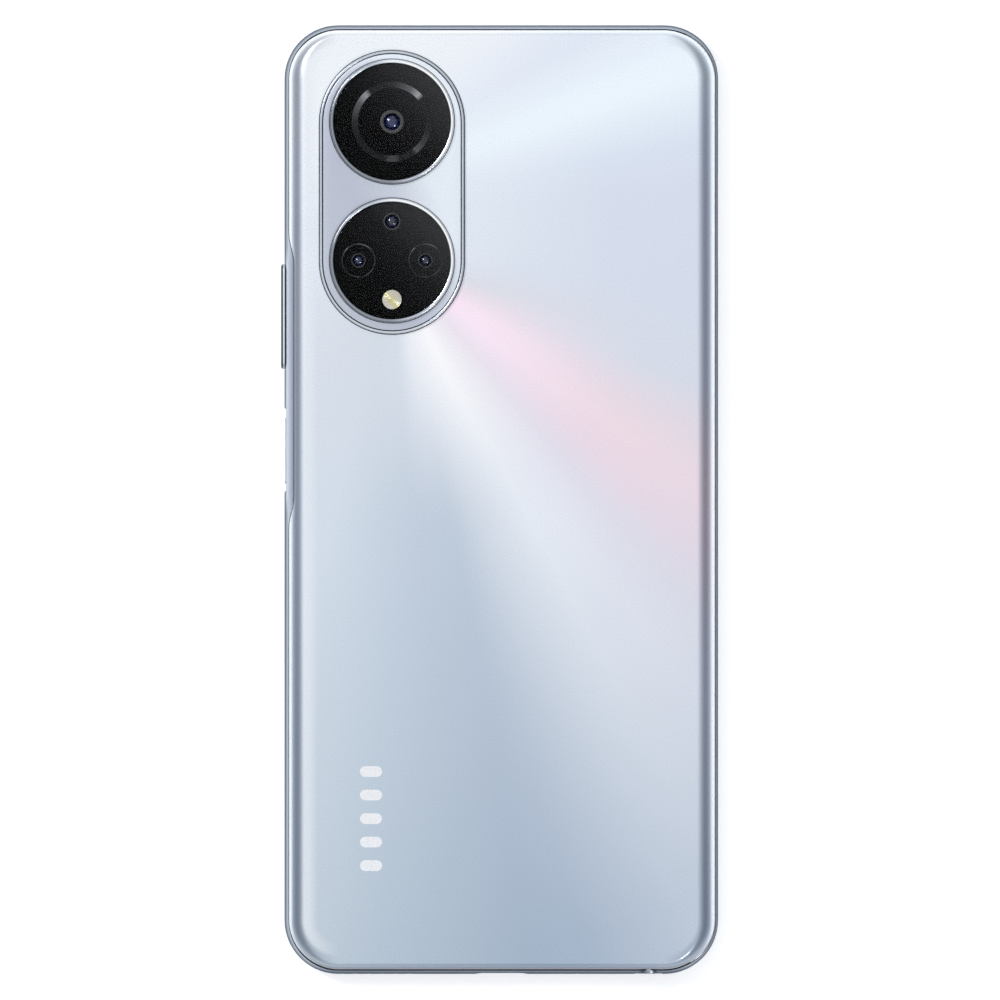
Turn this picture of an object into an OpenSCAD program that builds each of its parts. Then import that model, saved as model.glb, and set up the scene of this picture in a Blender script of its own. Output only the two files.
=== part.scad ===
// Smartphone, lying on its display with its back upwards.
// X runs across the width, Y towards the top end, Z out of the back.
// The origin is the centre of the display glass's outer face.

/* [Body] */
// Width over the side frame, without the volume key
body_w = 76.6; // [75.6:0.2:78.6]
// Length over the side frame
body_h = 167.6; // [166.6:0.2:170.6]
// Thickness from the display glass to the flat back
body_t = 8.6; // [8.5:0.1:9.2]
// Radius of the four corners in plan
corner_r = 9.5; // [9:0.25:10.5]
// Width of the side frame's rim seen from behind
rim = 0.68; // [0.6:0.02:0.74]
// Width of the curved edge along the two long sides
side_curve = 4; // [3.6:0.1:4.4]
// Width of the curved edge along the two short ends
end_curve = 2.1; // [1.9:0.1:2.4]

/* [Cameras] */
// Distance of the camera island's centre line from the body's centre line
island_x = -19.3; // [-19.8:0.1:-18.8]
// Height of the main lens's centre above the body's centre
main_y = 66.7; // [66.2:0.1:67]
// Height of the lower lens group's centre above the body's centre
aux_y = 42.2; // [41.8:0.1:42.6]
// Radius of the camera island's round ends
island_r = 12.9; // [12.7:0.1:13.1]
// Outer radius of the two lens rings
ring_r = 11.2; // [11:0.1:11.4]
// How far the lens rings stand above the back
ring_rise = 1.6; // [1.5:0.1:1.8]
// How far the camera island stands above the back
island_rise = 0.7; // [0.6:0.05:0.8]

/* [Keys and ports] */
// Middle of the volume key along the left side
volume_y = 32.35; // [32:0.1:33]
// Length of the volume key
volume_len = 18.5; // [17.5:0.5:19]
// How far the volume key stands out of the side
volume_out = 0.6; // [0.5:0.1:0.8]
// Middle of the power key along the left side
power_y = 8.6; // [8.2:0.1:9]
// Length of the power key
power_len = 12; // [11:0.5:12.5]
// Depth of the finger scoop around the power key
scoop = 0.45; // [0.3:0.05:0.5]
// Middle of the card tray along the right side
tray_y = 50; // [49.5:0.1:50.5]
// Place of the headphone socket along the bottom end
jack_x = 26; // [25.5:0.1:26.5]
// Radius of the headphone socket's bore
jack_bore = 1.8; // [1.75:0.01:1.85]

/* [Hidden] */
$fn = 48;

hw = body_w / 2;
hh = body_h / 2;
gap = 0.1;
eps = 0.01;

// Levels through the thickness, from the glass face up
bulge_z = 4.2;                        // widest point of the side frame
lip_z = 0.35;                         // front edge of the side frame
glass_t = 0.8;
lcd_top = 1.9;
plate_z = 2.0;
plate_t = 0.5;
plate_top = plate_z + plate_t;
board_z = 2.9;
board_t = 0.8;
board_top = board_z + board_t;
cover_t = 0.8;
cover_in = body_t - cover_t;          // inside face of the back cover
adhesive_t = 0.1;
back_rise = body_t - bulge_z;         // height of the curved back edge's ellipse

// Insets from the outermost outline
lip_in = 1.45;
ledge_in = 2.9;
wall_in = 1.8;
front_curve = 1.58;                   // inset that the front half of the bulge would reach
seam_phi = acos(1 - rim / side_curve);
seam_z = bulge_z + back_rise * sin(seam_phi);
key_rim = 1.61;                       // rim width beside the keys
key_phi = acos(1 - key_rim / side_curve);

// Levels of the camera island
island_top = body_t + island_rise;
ring_top = body_t + ring_rise;
flange_z = 7.1;
flange_top = cover_in - 0.05;
seat_z = body_t - 0.1;                // seat of the lens rings in the camera plate
glass_top = ring_top - 0.15;
glass_z = glass_top - 0.5;
mask_z = glass_z - 0.3;
plate_r = island_r - 0.68;
lens_r = 10.25;
aux_step = 6.9;                       // upper lens and flash from the lower group's centre
aux_side = 5.9;                       // side lenses from the lower group's centre

// Keys, tray and ports
key_z = bulge_z;
key_h = 2.4;
flange_h = 3.3;
dome_offset = 5.2;                    // volume switches from the middle of their key
key_zone = [power_y - 8.1, volume_y + volume_len / 2];
zone_ramp = 4.7;
scoop_zone = [power_y - 8.5, power_y + 9];
scoop_ramp = 1.8;
power_h = 2.6;
volume_tilt_clear = 0.12;
port_z = 4.2;
usb_w = 8.94;
usb_h = 3.16;
usb_wall = 0.3;
usb_depth = 7.3;
usb_recess = 0.4;
jack_depth = 14;
tray_z = 4.3;
tray_cap = [15.6, 3.0];
tray_plate_t = 0.7;
pin_y = tray_y - 6.5;
pin_r = 0.45;
rod_r = 0.55;
lever_x = 5.1;
lever_y = pin_y + 3.7;

inner_w = hw - wall_in;
inner_h = hh - wall_in;
inner_r = corner_r - wall_in;

battery = [64, 88.5, 4.5];
battery_y = -17.75;
battery_z = 2.6;
motor = [14, -72];
front_cam_y = 77.2;

camera_screw_at = [[-32.9, 75.3], [-32.9, 33.2]];
bracket_screw_at = [[33, 75.3], [-2.2, 33], [30.6, 33.2], [33.2, 61]];
board_screw_at = concat(camera_screw_at, bracket_screw_at);
sub_screw_at = [[-3.6, -72.5], [33.3, -75], [9.5, -79.2]];
speaker_screw_at = [[-33.3, -67.2], [-9, -67.2]];
post_r = 1.9;
head_z = board_top + 0.8;             // underside of a screw head on a bracket
speaker_top = 6.9;
speaker_head_z = speaker_top - 0.5;
speaker_hole_x = [for (i = [0:5]) -28.2 + 2.4 * i];

// ---------------------------------------------------------------- outlines

// Points of a rectangle with elliptical corners, anticlockwise
function outline(w, h, rx, ry, n = 8) = [
    for (q = [0:3], i = [0:n])
        let (
            a = 90 * q + 90 * i / n,
            sx = (q == 0 || q == 3) ? 1 : -1,
            sy = (q < 2) ? 1 : -1
        )
        [sx * (w - rx) + rx * cos(a), sy * (h - ry) + ry * sin(a)]
];

// Outline inset by dx at the sides and dy at the ends, at height z
function ring_at(dx, dy, z, n = 10) =
    [for (p = outline(hw - dx, hh - dy, corner_r - dx, corner_r - dy, n)) [p[0], p[1], z]];

// Inset of the outer skin, for the part of the back that curves over
function skin_in(reach, phi) =
    rim + (reach - rim) * (cos(seam_phi) - cos(phi)) / cos(seam_phi);
function skin_z(phi) = bulge_z + back_rise * sin(phi);

// A solid through stacked rings of equal point count, closed by a cap at each end
module lofted(rings) {
    n = len(rings[0]);
    last = (len(rings) - 1) * n;
    polyhedron(
        points = [for (r = rings) each r],
        faces = concat(
            [[for (i = [0:n - 1]) i]],
            [for (k = [0:len(rings) - 2], i = [0:n - 1])
                [k * n + i, (k + 1) * n + i, (k + 1) * n + (i + 1) % n]],
            [for (k = [0:len(rings) - 2], i = [0:n - 1])
                [k * n + i, (k + 1) * n + (i + 1) % n, k * n + (i + 1) % n]],
            [[for (i = [n - 1:-1:0]) last + i]]
        )
    );
}

module slab(w, h, r, z0, z1, n = 6) {
    translate([0, 0, z0]) linear_extrude(z1 - z0) polygon(outline(w, h, r, r, n));
}

module block(x, y, z) {
    translate([x[0], y[0], z[0]]) cube([x[1] - x[0], y[1] - y[0], z[1] - z[0]]);
}

// Slot with round ends, length along X
module stadium(l, h) {
    square([l - h, h], center = true);
    for (s = [-1, 1]) translate([s * (l - h) / 2, 0]) circle(h / 2);
}

// Camera island outline grown by g
module island(r) {
    translate([island_x, (main_y + aux_y) / 2]) rotate(90) stadium(main_y - aux_y + 2 * r, 2 * r);
}

// Space inside the side frame's wall, less a margin
module inside(margin, z0, z1) {
    slab(inner_w - margin, inner_h - margin, inner_r - margin, z0, z1);
}

// ---------------------------------------------------------------- side frame

// Outer skin from angle phi below the widest point up to it, and on from there to the seam.
// X is the distance from the corner's centre and Y the height; back is a setback.
function front_skin(phi, n, back = 0) = [
    for (i = [0:n]) let (a = phi * (1 - i / n))
        [corner_r - back - front_curve * (1 - cos(a)), bulge_z * (1 - sin(a))]
];
function upper_skin(n, back = 0) = [
    for (i = [1:n]) let (a = seam_phi * i / n)
        [corner_r - back - side_curve * (1 - cos(a)), skin_z(a)]
];

module wall_section() {
    front_phi = asin((bulge_z - lip_z) / bulge_z);
    polygon(concat(
        front_skin(front_phi, 8),
        upper_skin(6),
        [
            [corner_r - wall_in, seam_z],
            [corner_r - wall_in, plate_z],
            [corner_r - ledge_in, plate_z],
            [corner_r - ledge_in, glass_t + 0.05],
            [corner_r - lip_in, glass_t + 0.05],
            [corner_r - lip_in, lip_z],
        ]
    ));
}

module wall_ring() {
    for (s = [0, 180])
        rotate(s) translate([hw - corner_r, 0, 0]) rotate([90, 0, 0])
            linear_extrude(body_h - 2 * corner_r, center = true) wall_section();
    for (s = [90, 270])
        rotate(s) translate([hh - corner_r, 0, 0]) rotate([90, 0, 0])
            linear_extrude(body_w - 2 * corner_r, center = true) wall_section();
    for (q = [0:3])
        translate([((q == 0 || q == 3) ? 1 : -1) * (hw - corner_r), (q < 2 ? 1 : -1) * (hh - corner_r), 0])
            rotate(90 * q) rotate_extrude(angle = 90) wall_section();
}

// Plan of the zone beside the keys, where the frame climbs further over the edge
module key_zone_plan(grow) {
    polygon([
        [-hw - 1, key_zone[0] - zone_ramp - grow], [-hw + rim, key_zone[0] - zone_ramp - grow],
        [-hw + key_rim + grow, key_zone[0] - grow], [-hw + key_rim + grow, key_zone[1] + grow],
        [-hw + rim, key_zone[1] + zone_ramp + grow], [-hw - 1, key_zone[1] + zone_ramp + grow],
    ]);
}

module key_shoulder() {
    intersection() {
        translate([-hw, (key_zone[0] + key_zone[1]) / 2, 0]) rotate([90, 0, 0])
            linear_extrude(key_zone[1] - key_zone[0] + 2 * zone_ramp, center = true)
                polygon(concat(
                    [for (i = [0:4]) let (a = seam_phi + (key_phi - seam_phi) * i / 4)
                        [side_curve * (1 - cos(a)), skin_z(a)]],
                    [[key_rim, seam_z - 0.2], [rim, seam_z - 0.2]]
                ));
        translate([0, 0, seam_z - 0.2]) linear_extrude(2) key_zone_plan(0);
    }
}

module finger_scoop() {
    translate([0, 0, -1]) linear_extrude(body_t) polygon([
        [-hw - 1, scoop_zone[0] - scoop_ramp], [-hw, scoop_zone[0]],
        [-hw + scoop, scoop_zone[0] + scoop_ramp], [-hw + scoop, scoop_zone[1] - scoop_ramp],
        [-hw, scoop_zone[1]], [-hw - 1, scoop_zone[1] + scoop_ramp],
    ]);
}

module slot_through_side(side, y, z, l, h) {
    translate([side * (hw - 1), y, z]) rotate([90, 0, 90])
        linear_extrude(4, center = true) stadium(l, h);
}

module slot_through_bottom(x, z, l, h) {
    translate([x, -hh + 1, z]) rotate([90, 0, 0])
        linear_extrude(4, center = true) stadium(l, h);
}

module hole_through_end(end, x, z, r) {
    translate([x, end * (hh - 1), z]) rotate([90, 0, 0]) cylinder(h = 5, r = r, center = true);
}

module side_frame() color("#b9c3d3") difference() {
    union() {
        wall_ring();
        key_shoulder();
    }
    finger_scoop();
    slot_through_side(-1, volume_y, key_z, volume_len + 2 * volume_tilt_clear, key_h + 2 * gap);
    slot_through_side(-1, power_y, key_z, power_len + 2 * gap, power_h + 2 * gap);
    slot_through_side(1, tray_y, tray_z, tray_cap[0] + 2 * gap, tray_cap[1] + 2 * gap);
    slot_through_bottom(0, port_z, usb_w + 2 * gap, usb_h + 2 * gap);
    hole_through_end(-1, jack_x, port_z, 2.55);
    hole_through_end(-1, 13.5, port_z, 0.5);
    hole_through_end(1, 26.5, port_z, 0.5);
    for (x = speaker_hole_x) hole_through_end(-1, x, port_z, 0.6);
    // sound slit of the earpiece, between the glass and the lip, and its duct
    block([-6, 6], [hh - lip_in - eps, hh - lip_in + 0.3], [0, plate_z + 1]);
    block([4, 12], [hh - lip_in - 1.6, hh - lip_in], [1.3, plate_z + 1]);
}

// ---------------------------------------------------------------- chassis plate

module mid_plate() color("#8f9499") difference() {
    union() {
        inside(0.1, plate_z, plate_top);
        for (p = concat(board_screw_at, sub_screw_at))
            translate([p[0], p[1], plate_top - eps]) cylinder(h = board_z - plate_top + eps, r = 1.5);
    }
    for (p = concat(board_screw_at, sub_screw_at, speaker_screw_at))
        translate([p[0], p[1], plate_z - 1]) cylinder(h = 3, r = 0.72);
    block([-3.6, 3.6], [front_cam_y - 3.6, front_cam_y + 3.4], [1, 3]);
    block([jack_x - 3.4, jack_x + 3.4], [-hh, -hh + wall_in + jack_depth + 1.2], [1, 3]);
    block([-5, 3], [-64.2, -63], [1, 3]);
    block([5, 19], [75, inner_h - 1], [1, 3]);
    for (y = [-40, -10, 15]) translate([0, y, 1]) cylinder(h = 3, r = 2.5);
}

// ---------------------------------------------------------------- back cover

module back_cover() color("#dde3ee") difference() {
    steps = 8;
    lofted(concat(
        [for (i = [0:steps]) let (a = seam_phi + (90 - seam_phi) * i / steps)
            ring_at(skin_in(side_curve, a), skin_in(end_curve, a),
                i == 0 ? seam_z + adhesive_t : max(skin_z(a), seam_z + adhesive_t + 0.05 * i))]
    ));
    // hollow underneath
    lofted([for (i = [0:5]) let (a = 18 * i)
        ring_at(
            wall_in + 0.2 + (side_curve - wall_in) * (1 - cos(a)),
            wall_in + 0.2 + (end_curve - wall_in) * (1 - cos(a)),
            i == 0 ? seam_z - 0.5 : seam_z + adhesive_t + (cover_in - seam_z - adhesive_t) * sin(a), 8
        )]);
    translate([0, 0, body_t - 3]) linear_extrude(6) island(island_r + gap);
    translate([0, 0, seam_z - 1]) linear_extrude(4) key_zone_plan(0.05);
}

module back_cover_adhesive() color("#22252a") difference() {
    slab(hw - 1, hh - 1, corner_r - 1, seam_z, seam_z + adhesive_t);
    slab(hw - wall_in + 0.05, hh - wall_in + 0.05, corner_r - wall_in + 0.05, seam_z - 1, seam_z + 1);
    // the wide rim beside the keys has no tape
    zone_y = [key_zone[0] - zone_ramp - 0.3, key_zone[1] + zone_ramp + 0.3];
    block([-hw, -hw + wall_in + 1], zone_y, [seam_z - 1, seam_z + 1]);
}

// ---------------------------------------------------------------- camera island

module camera_bezel() color("#c8d0dc") difference() {
    translate([0, 0, flange_top]) linear_extrude(island_top + 0.08 - flange_top) island(island_r);
    translate([0, 0, flange_top - 1]) linear_extrude(4) island(plate_r + 0.03);
}

module camera_plate() color("#d3dbe9") difference() {
    union() {
        translate([0, 0, flange_z]) linear_extrude(island_top - flange_z) island(plate_r);
        translate([0, 0, flange_z]) linear_extrude(flange_top - flange_z) island(island_r + 0.9);
    }
    for (y = [main_y, aux_y]) translate([island_x, y, 0]) {
        translate([0, 0, flange_z - 1]) cylinder(h = 5, r = lens_r - 0.5);
        translate([0, 0, seat_z]) cylinder(h = 3, r = ring_r + 0.05);
    }
}

module lens_ring(y) translate([island_x, y, 0]) rotate_extrude() polygon([
    [lens_r - 0.5, seat_z], [ring_r, seat_z], [ring_r, ring_top - 0.35],
    [ring_r - 0.2, ring_top - 0.08], [ring_r - 0.45, ring_top], [lens_r + 0.15, ring_top],
    [lens_r + 0.05, ring_top - 0.1], [lens_r + 0.05, glass_z], [lens_r - 0.5, glass_z],
]);

module main_lens_ring() color("#c9ced6") lens_ring(main_y);
module aux_lens_ring() color("#c9ced6") lens_ring(aux_y);

module lens_glass(y) translate([island_x, y, 0]) rotate_extrude() polygon([
    [0, glass_z], [lens_r, glass_z], [lens_r, glass_top - 0.15],
    [lens_r - 0.15, glass_top], [0, glass_top],
]);

module main_lens_glass() color("#1a1b1d") lens_glass(main_y);
module aux_lens_glass() color("#1a1b1d") lens_glass(aux_y);

main_aperture = 1.45;
wide_aperture = 1.2;
side_aperture = 1;
flash_r = 1.75;

module mask_disc() cylinder(h = glass_z - mask_z, r = lens_r - 0.6);

module main_lens_mask() color("#101113") translate([island_x, main_y, mask_z]) difference() {
    mask_disc();
    translate([0, 0, -1]) cylinder(h = 3, r = main_aperture);
}

module aux_lens_mask() color("#101113") translate([island_x, aux_y, mask_z]) difference() {
    mask_disc();
    translate([0, aux_step, -1]) cylinder(h = 3, r = wide_aperture);
    for (s = [-1, 1]) translate([s * aux_side, 0, -1]) cylinder(h = 3, r = side_aperture);
    translate([0, -aux_step, -1]) cylinder(h = 3, r = flash_r);
}

// Square camera body with a round nose that carries the lens
module camera_module(size, body_top, nose_r, nose_top, lens_opening) {
    difference() {
        union() {
            block([-size / 2, size / 2], [-size / 2, size / 2], [plate_top + 0.1, body_top]);
            translate([0, 0, body_top - eps]) cylinder(h = nose_top - body_top + eps, r = nose_r);
        }
        translate([0, 0, nose_top - 0.6]) cylinder(h = 2, r = lens_opening);
    }
}

barrel_r = 3.2;
barrel_foot = 5;
barrel_top = 8.9;
housing_half = 5;
housing_top = 6.8;

module main_camera_housing() color("#2b2d30") translate([island_x, main_y, 0]) difference() {
    block([-housing_half, housing_half], [-housing_half, housing_half], [plate_top + 0.1, housing_top]);
    translate([0, 0, barrel_foot - 0.2]) cylinder(h = 4, r = barrel_r + 0.2);
    translate([0, 0, 3.2]) cylinder(h = 3, r = 2.6);
}

module main_camera_barrel() color("#1c1d20") translate([island_x, main_y, 0]) difference() {
    translate([0, 0, barrel_foot]) cylinder(h = barrel_top - barrel_foot, r = barrel_r);
    translate([0, 0, barrel_top - 0.7]) cylinder(h = 2, r1 = wide_aperture, r2 = 2.6);
    translate([0, 0, barrel_foot - 1]) cylinder(h = 1.8, r = 2);
}

module wide_camera() color("#2b2d30") translate([island_x, aux_y + aux_step, 0])
    camera_module(7.4, 6.6, 2.6, 8.7, 1.3);
module depth_camera() color("#2b2d30") translate([island_x - aux_side, aux_y, 0])
    camera_module(5.6, 6.4, 2.2, 8.6, 1.1);
module macro_camera() color("#2b2d30") translate([island_x + aux_side, aux_y, 0])
    camera_module(5.6, 6.4, 2.2, 8.6, 1.1);

flash_z = 7.8;
led_z = 7.05;
led_base = 0.3;

module flash_diffuser() color("#f4efc8") translate([island_x, aux_y - aux_step, 0]) {
    translate([0, 0, flash_z + 0.4]) cylinder(h = glass_z - flash_z - 0.4, r = flash_r - 0.05);
    translate([0, 0, flash_z]) cylinder(h = 0.4, r = flash_r + 0.35);
}

module flash_led() color("#e8dc6a") translate([island_x, aux_y - aux_step, 0]) {
    block([-1, 1], [-1, 1], [led_z, flash_z - 0.05]);
    block([-2.2, 2.2], [-1.8, 1.8], [led_z - led_base, led_z]);
    block([-1.5, 1.5], [-1.5, 1.5], [board_top, led_z - led_base + eps]);
}

camera_bracket_z = [6.85, 7];
upper_bracket_z = [5.7, 6.5];

// Hollow post that a bracket stands on, and the room for its screw
module bracket_post(p, top) {
    translate([p[0], p[1], board_top]) cylinder(h = top - board_top, r = post_r);
}

module bracket_bore(p) {
    translate([p[0], p[1], 0]) cylinder(h = 9, r = 0.85);
    translate([p[0], p[1], head_z]) cylinder(h = 9, r = 1.5);
}

module camera_bracket() color("#9aa0a6") difference() {
    union() {
        block([-31.5, -7], [30.6, 79], camera_bracket_z);
        for (p = camera_screw_at) {
            block([p[0] - post_r, -31.4], [p[1] - post_r, p[1] + post_r], camera_bracket_z);
            bracket_post(p, camera_bracket_z[1]);
        }
    }
    for (p = camera_screw_at) bracket_bore(p);
    translate([island_x, main_y, 6]) cylinder(h = 3, r = 3.8);
    translate([island_x, aux_y + aux_step, 6]) cylinder(h = 3, r = 2.9);
    for (s = [-1, 1]) translate([island_x + s * aux_side, aux_y, 6]) cylinder(h = 3, r = 2.5);
    block([island_x - 2.5, island_x + 2.5], [aux_y - aux_step - 2.1, aux_y - aux_step + 2.1], [6, 8]);
}

// ---------------------------------------------------------------- display

module display_glass() color("#08090b") lofted([
    for (r = [[1.85, 0], [1.62, 0.08], [1.52, 0.25], [1.5, glass_t]]) ring_at(r[0], r[0], r[1])
]);

module display_adhesive() color("#22252a") difference() {
    slab(hw - 1.7, hh - 1.7, corner_r - 1.7, glass_t, glass_t + 0.05);
    slab(hw - 2.8, hh - 2.8, corner_r - 2.8, 0, 2);
}

module lcd_panel() color("#14161c") difference() {
    slab(hw - 3.1, hh - 4, corner_r - 3.1, glass_t, lcd_top);
    translate([0, front_cam_y, 0]) cylinder(h = 4, r = 3.3);
    block([-3.3, 3.3], [front_cam_y, hh], [0, 4]);
}

module display_flex() color("#b0732c") translate([-4.5, 0, 0]) rotate([90, 0, 90]) linear_extrude(7)
    polygon([
        [-78, lcd_top], [-63.5, lcd_top], [-63.5, board_top + 0.5], [-67, board_top + 0.5],
        [-67, board_top + 0.42], [-63.6, board_top + 0.42], [-63.6, lcd_top + 0.08], [-78, lcd_top + 0.08],
    ]);

module front_camera() color("#1d1f22") translate([0, front_cam_y, 0]) difference() {
    union() {
        block([-3, 3], [-3, 3], [plate_z, 5.2]);
        translate([0, 0, glass_t + 0.05]) cylinder(h = plate_z, r = 2.4);
    }
    translate([0, 0, 0]) cylinder(h = 1.4, r = 1.1);
}

module earpiece_receiver() color("#3a3d42") difference() {
    block([5.4, 18.6], [75.4, 81], [plate_z + 0.2, 5]);
    block([6, 18], [76, 80.4], [plate_z + 0.8, 4.4]);
    block([6, 18], [76.6, 79.8], [1, 3.2]);
}

module earpiece_diaphragm() color("#6d5a34") {
    block([6.6, 17.4], [76.6, 79.8], [3.5, 3.6]);
    translate([12, 78.2, 3.6 - eps]) difference() {
        cylinder(h = 0.4, r = 1.3);
        translate([0, 0, -1]) cylinder(h = 3, r = 1.1);
    }
}

module earpiece_mesh() color("#2c2f33")
    block([-5.95, 5.95], [hh - lip_in + 0.02, hh - lip_in + 0.28], [0.5, 0.7]);

// ---------------------------------------------------------------- main board

module main_board() color("#1f4d3a") difference() {
    intersection() {
        inside(0.4, board_z, board_top);
        block([-hw, hw], [30.6, hh], [board_z - 1, board_top + 1]);
    }
    translate([island_x, main_y, 0]) block([-5.3, 5.3], [-5.3, 5.3], [0, 9]);
    translate([island_x, aux_y + aux_step, 0]) block([-4, 4], [-4, 4], [0, 9]);
    translate([island_x, aux_y, 0]) block([-9, 9], [-3.1, 3.1], [0, 9]);
    block([-4, 19.2], [73.2, hh], [0, 9]);
    // clearance for the key bracket
    block([-hw, -34.4], [29, 44], [0, 9]);
    for (p = board_screw_at) translate([p[0], p[1], 0]) cylinder(h = 9, r = 0.8);
}

module shield_can(x, y, h = 1.5) {
    block([x[0], x[1]], [y[0], y[1]], [board_top, board_top + h]);
}

module board_shields() color("#b6babf") {
    shield_can([-9.8, 3], [36.5, 70.5]);
    shield_can([6.5, 31], [62.5, 72.5]);
    shield_can([-33.5, -26.5], [46, 72]);
    shield_can([18, 28.5], [31.5, 42]);
}

module connector(x, y, l, w) {
    translate([x, y, board_top]) difference() {
        translate([-l / 2, -w / 2, 0]) cube([l, w, 0.4]);
        translate([-l / 2 + 0.4, -w / 2 + 0.5, 0.15]) cube([l - 0.8, w - 1, 1]);
    }
}

module board_connectors() color("#d8d2c0") {
    connector(10, 33.6, 11, 2.6);
    connector(-12, 33.8, 7.6, 2.4);
    connector(10, -66.3, 11, 2.6);
    connector(-1, -66, 5, 1.8);
}

module upper_bracket() color("#26292d") difference() {
    union() {
        intersection() {
            inside(0.7, upper_bracket_z[0], upper_bracket_z[1]);
            block([-5.5, hw], [31, 81], [5, 7]);
        }
        for (p = bracket_screw_at) bracket_post(p, upper_bracket_z[1]);
    }
    for (p = bracket_screw_at) bracket_bore(p);
    block([-3.4, 3.4], [front_cam_y - 3.4, hh], [5, 7]);
}

// ---------------------------------------------------------------- card tray

tray_deep = 7;
tray_y0 = tray_y - 5;
tray_y1 = tray_y + 7.4;
tray_floor = tray_z - tray_plate_t / 2;
card_ledge = 0.15;

module sim_reader() color("#aeb3b9") {
    difference() {
        block([6.2, 35.6], [tray_y0 - 0.6, tray_y1 + 0.6], [board_top, 5.2]);
        block([6.5, 40], [tray_y0 - 0.25, tray_y1 + 0.25], [board_top + 0.12, 5.05]);
        block([5, 6.6], [tray_y0 + 0.2, tray_y1 - 3], [board_top + 0.12, 5.05]);
        block([12, 30], [tray_y0 + 2, tray_y1 - 2], [5, 6]);
    }
    block([4.4, 6.2 + eps], [lever_y - 0.7, lever_y + 0.7], [board_top, board_top + 0.12]);
    translate([lever_x, lever_y, board_top]) cylinder(h = 1.2, r = 0.2);
}

// Pocket with a ledge round its floor, for a card of the given length and width
module card_pocket(x0, y0, l, w) {
    block([x0, x0 + l], [y0, y0 + w], [tray_floor + card_ledge, tray_floor + 2]);
    block([x0 + 0.8, x0 + l - 0.8], [y0 + 0.8, y0 + w - 0.8], [tray_floor - 1, tray_floor + 2]);
}

module sim_tray() color("#b9c3d3") difference() {
    union() {
        block([tray_deep, 36.7], [tray_y0, tray_y1], [tray_floor, tray_floor + tray_plate_t]);
        intersection() {
            translate([37.6, tray_y, tray_z]) rotate([90, 0, 90])
                linear_extrude(2, center = true) stadium(tray_cap[0], tray_cap[1]);
            translate([hw - corner_r, tray_y, 0]) rotate([90, 0, 0])
                linear_extrude(20, center = true) inside_skin();
        }
    }
    card_pocket(7.6, tray_y0 + 1.7, 12.4, 8.9);
    card_pocket(20.6, tray_y0 + 0.6, 15.1, 11.1);
    translate([30, pin_y, tray_z]) rotate([0, 90, 0]) cylinder(h = 12, r = pin_r);
}

// Everything inside the outer skin of the wall, a hair short of it
module inside_skin() polygon(concat([[2, 0]], front_skin(50, 8, 0.02), upper_skin(6, 0.02), [[2, seam_z]]));

module eject_rod() color("#c4c8cd")
    translate([5.8, pin_y, tray_z]) rotate([0, 90, 0]) cylinder(h = 35.9 - 5.8, r = rod_r);

module eject_lever() color("#aab0b6") translate([lever_x, lever_y, 0]) difference() {
    block([-0.4, 0.4], [-4.3, 4.3], [tray_z - 0.3, tray_z + 0.3]);
    translate([0, 0, 3]) cylinder(h = 3, r = 0.24);
}

// ---------------------------------------------------------------- sub board and ports

module sub_board() color("#1f4d3a") difference() {
    intersection() {
        inside(0.4, board_z, board_top);
        block([-5.6, hw], [-hh, -64.6], [board_z - 1, board_top + 1]);
    }
    block([-usb_w / 2 - 0.2, usb_w / 2 + 0.2], [-hh, -hh + usb_recess + usb_depth + 0.3], [0, 9]);
    block([jack_x - 3.4, jack_x + 3.4], [-hh, -hh + wall_in + jack_depth + 1.2], [0, 9]);
    for (p = sub_screw_at) translate([p[0], p[1], 0]) cylinder(h = 9, r = 0.8);
}

usb_end = 0.6;                        // thickness of the shell's closed end

module usb_c_shell() color("#c2c6cb") translate([0, -hh + usb_recess, port_z]) rotate([-90, 0, 0])
    difference() {
        linear_extrude(usb_depth) stadium(usb_w, usb_h);
        translate([0, 0, -1]) linear_extrude(usb_depth - usb_end + 1)
            stadium(usb_w - 2 * usb_wall, usb_h - 2 * usb_wall);
    }

module usb_c_tongue() color("#17181a") translate([0, -hh + usb_recess, port_z])
    block([-3.35, 3.35], [1.8, usb_depth - usb_end], [-0.35, 0.35]);

contact_x = 2.5;                      // jack springs, each side of the bore

module headphone_jack() color("#2a2c30") translate([jack_x, -hh, port_z]) difference() {
    union() {
        block([-3.1, 3.1], [wall_in + 0.1, jack_depth + 1], [-2.15, 2.15]);
        translate([0, 0.1, 0]) rotate([-90, 0, 0]) cylinder(h = wall_in + 1, r = 2.45);
    }
    translate([0, -1, 0]) rotate([-90, 0, 0]) cylinder(h = jack_depth + 1.1, r = jack_bore);
    for (s = [-1, 1]) block([s * contact_x - 0.4, s * contact_x + 0.4], [4, 11], [-0.5, 3]);
}

module jack_contacts() color("#d4af5a") translate([jack_x, -hh, port_z])
    for (s = [-1, 1], y = [4.6, 8.2])
        block([s * contact_x - 0.2, s * contact_x + 0.2], [y, y + 1.8], [-0.5 + eps, 2.3]);

module loudspeaker_box() color("#2a2c30") difference() {
    intersection() {
        inside(0.3, 2.6, speaker_top);
        block([-hw, -6.2], [-hh, -64.6], [2, 8]);
    }
    for (p = speaker_screw_at) translate([p[0], p[1], 0]) {
        cylinder(h = 9, r = 0.85);
        translate([0, 0, speaker_head_z]) cylinder(h = 3, r = 1.5);
    }
    block([-30, -12], [-78, -67], [3.4, 6.2]);
    block([-26, -15.5], [-75.5, -69.5], [6, 7.2]);
    // sound duct to the frame's holes
    block([-29, -15.4], [-hh, -77], [port_z - 0.7, port_z + 0.7]);
}

module loudspeaker_diaphragm() color("#55585d") {
    block([-29.2, -12.8], [-77.2, -67.8], [4.6, 4.75]);
    translate([-21, -72.5, 4.75 - eps]) difference() {
        cylinder(h = 0.8, r = 3.2);
        translate([0, 0, -1]) cylinder(h = 3, r = 2.9);
    }
}

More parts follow.
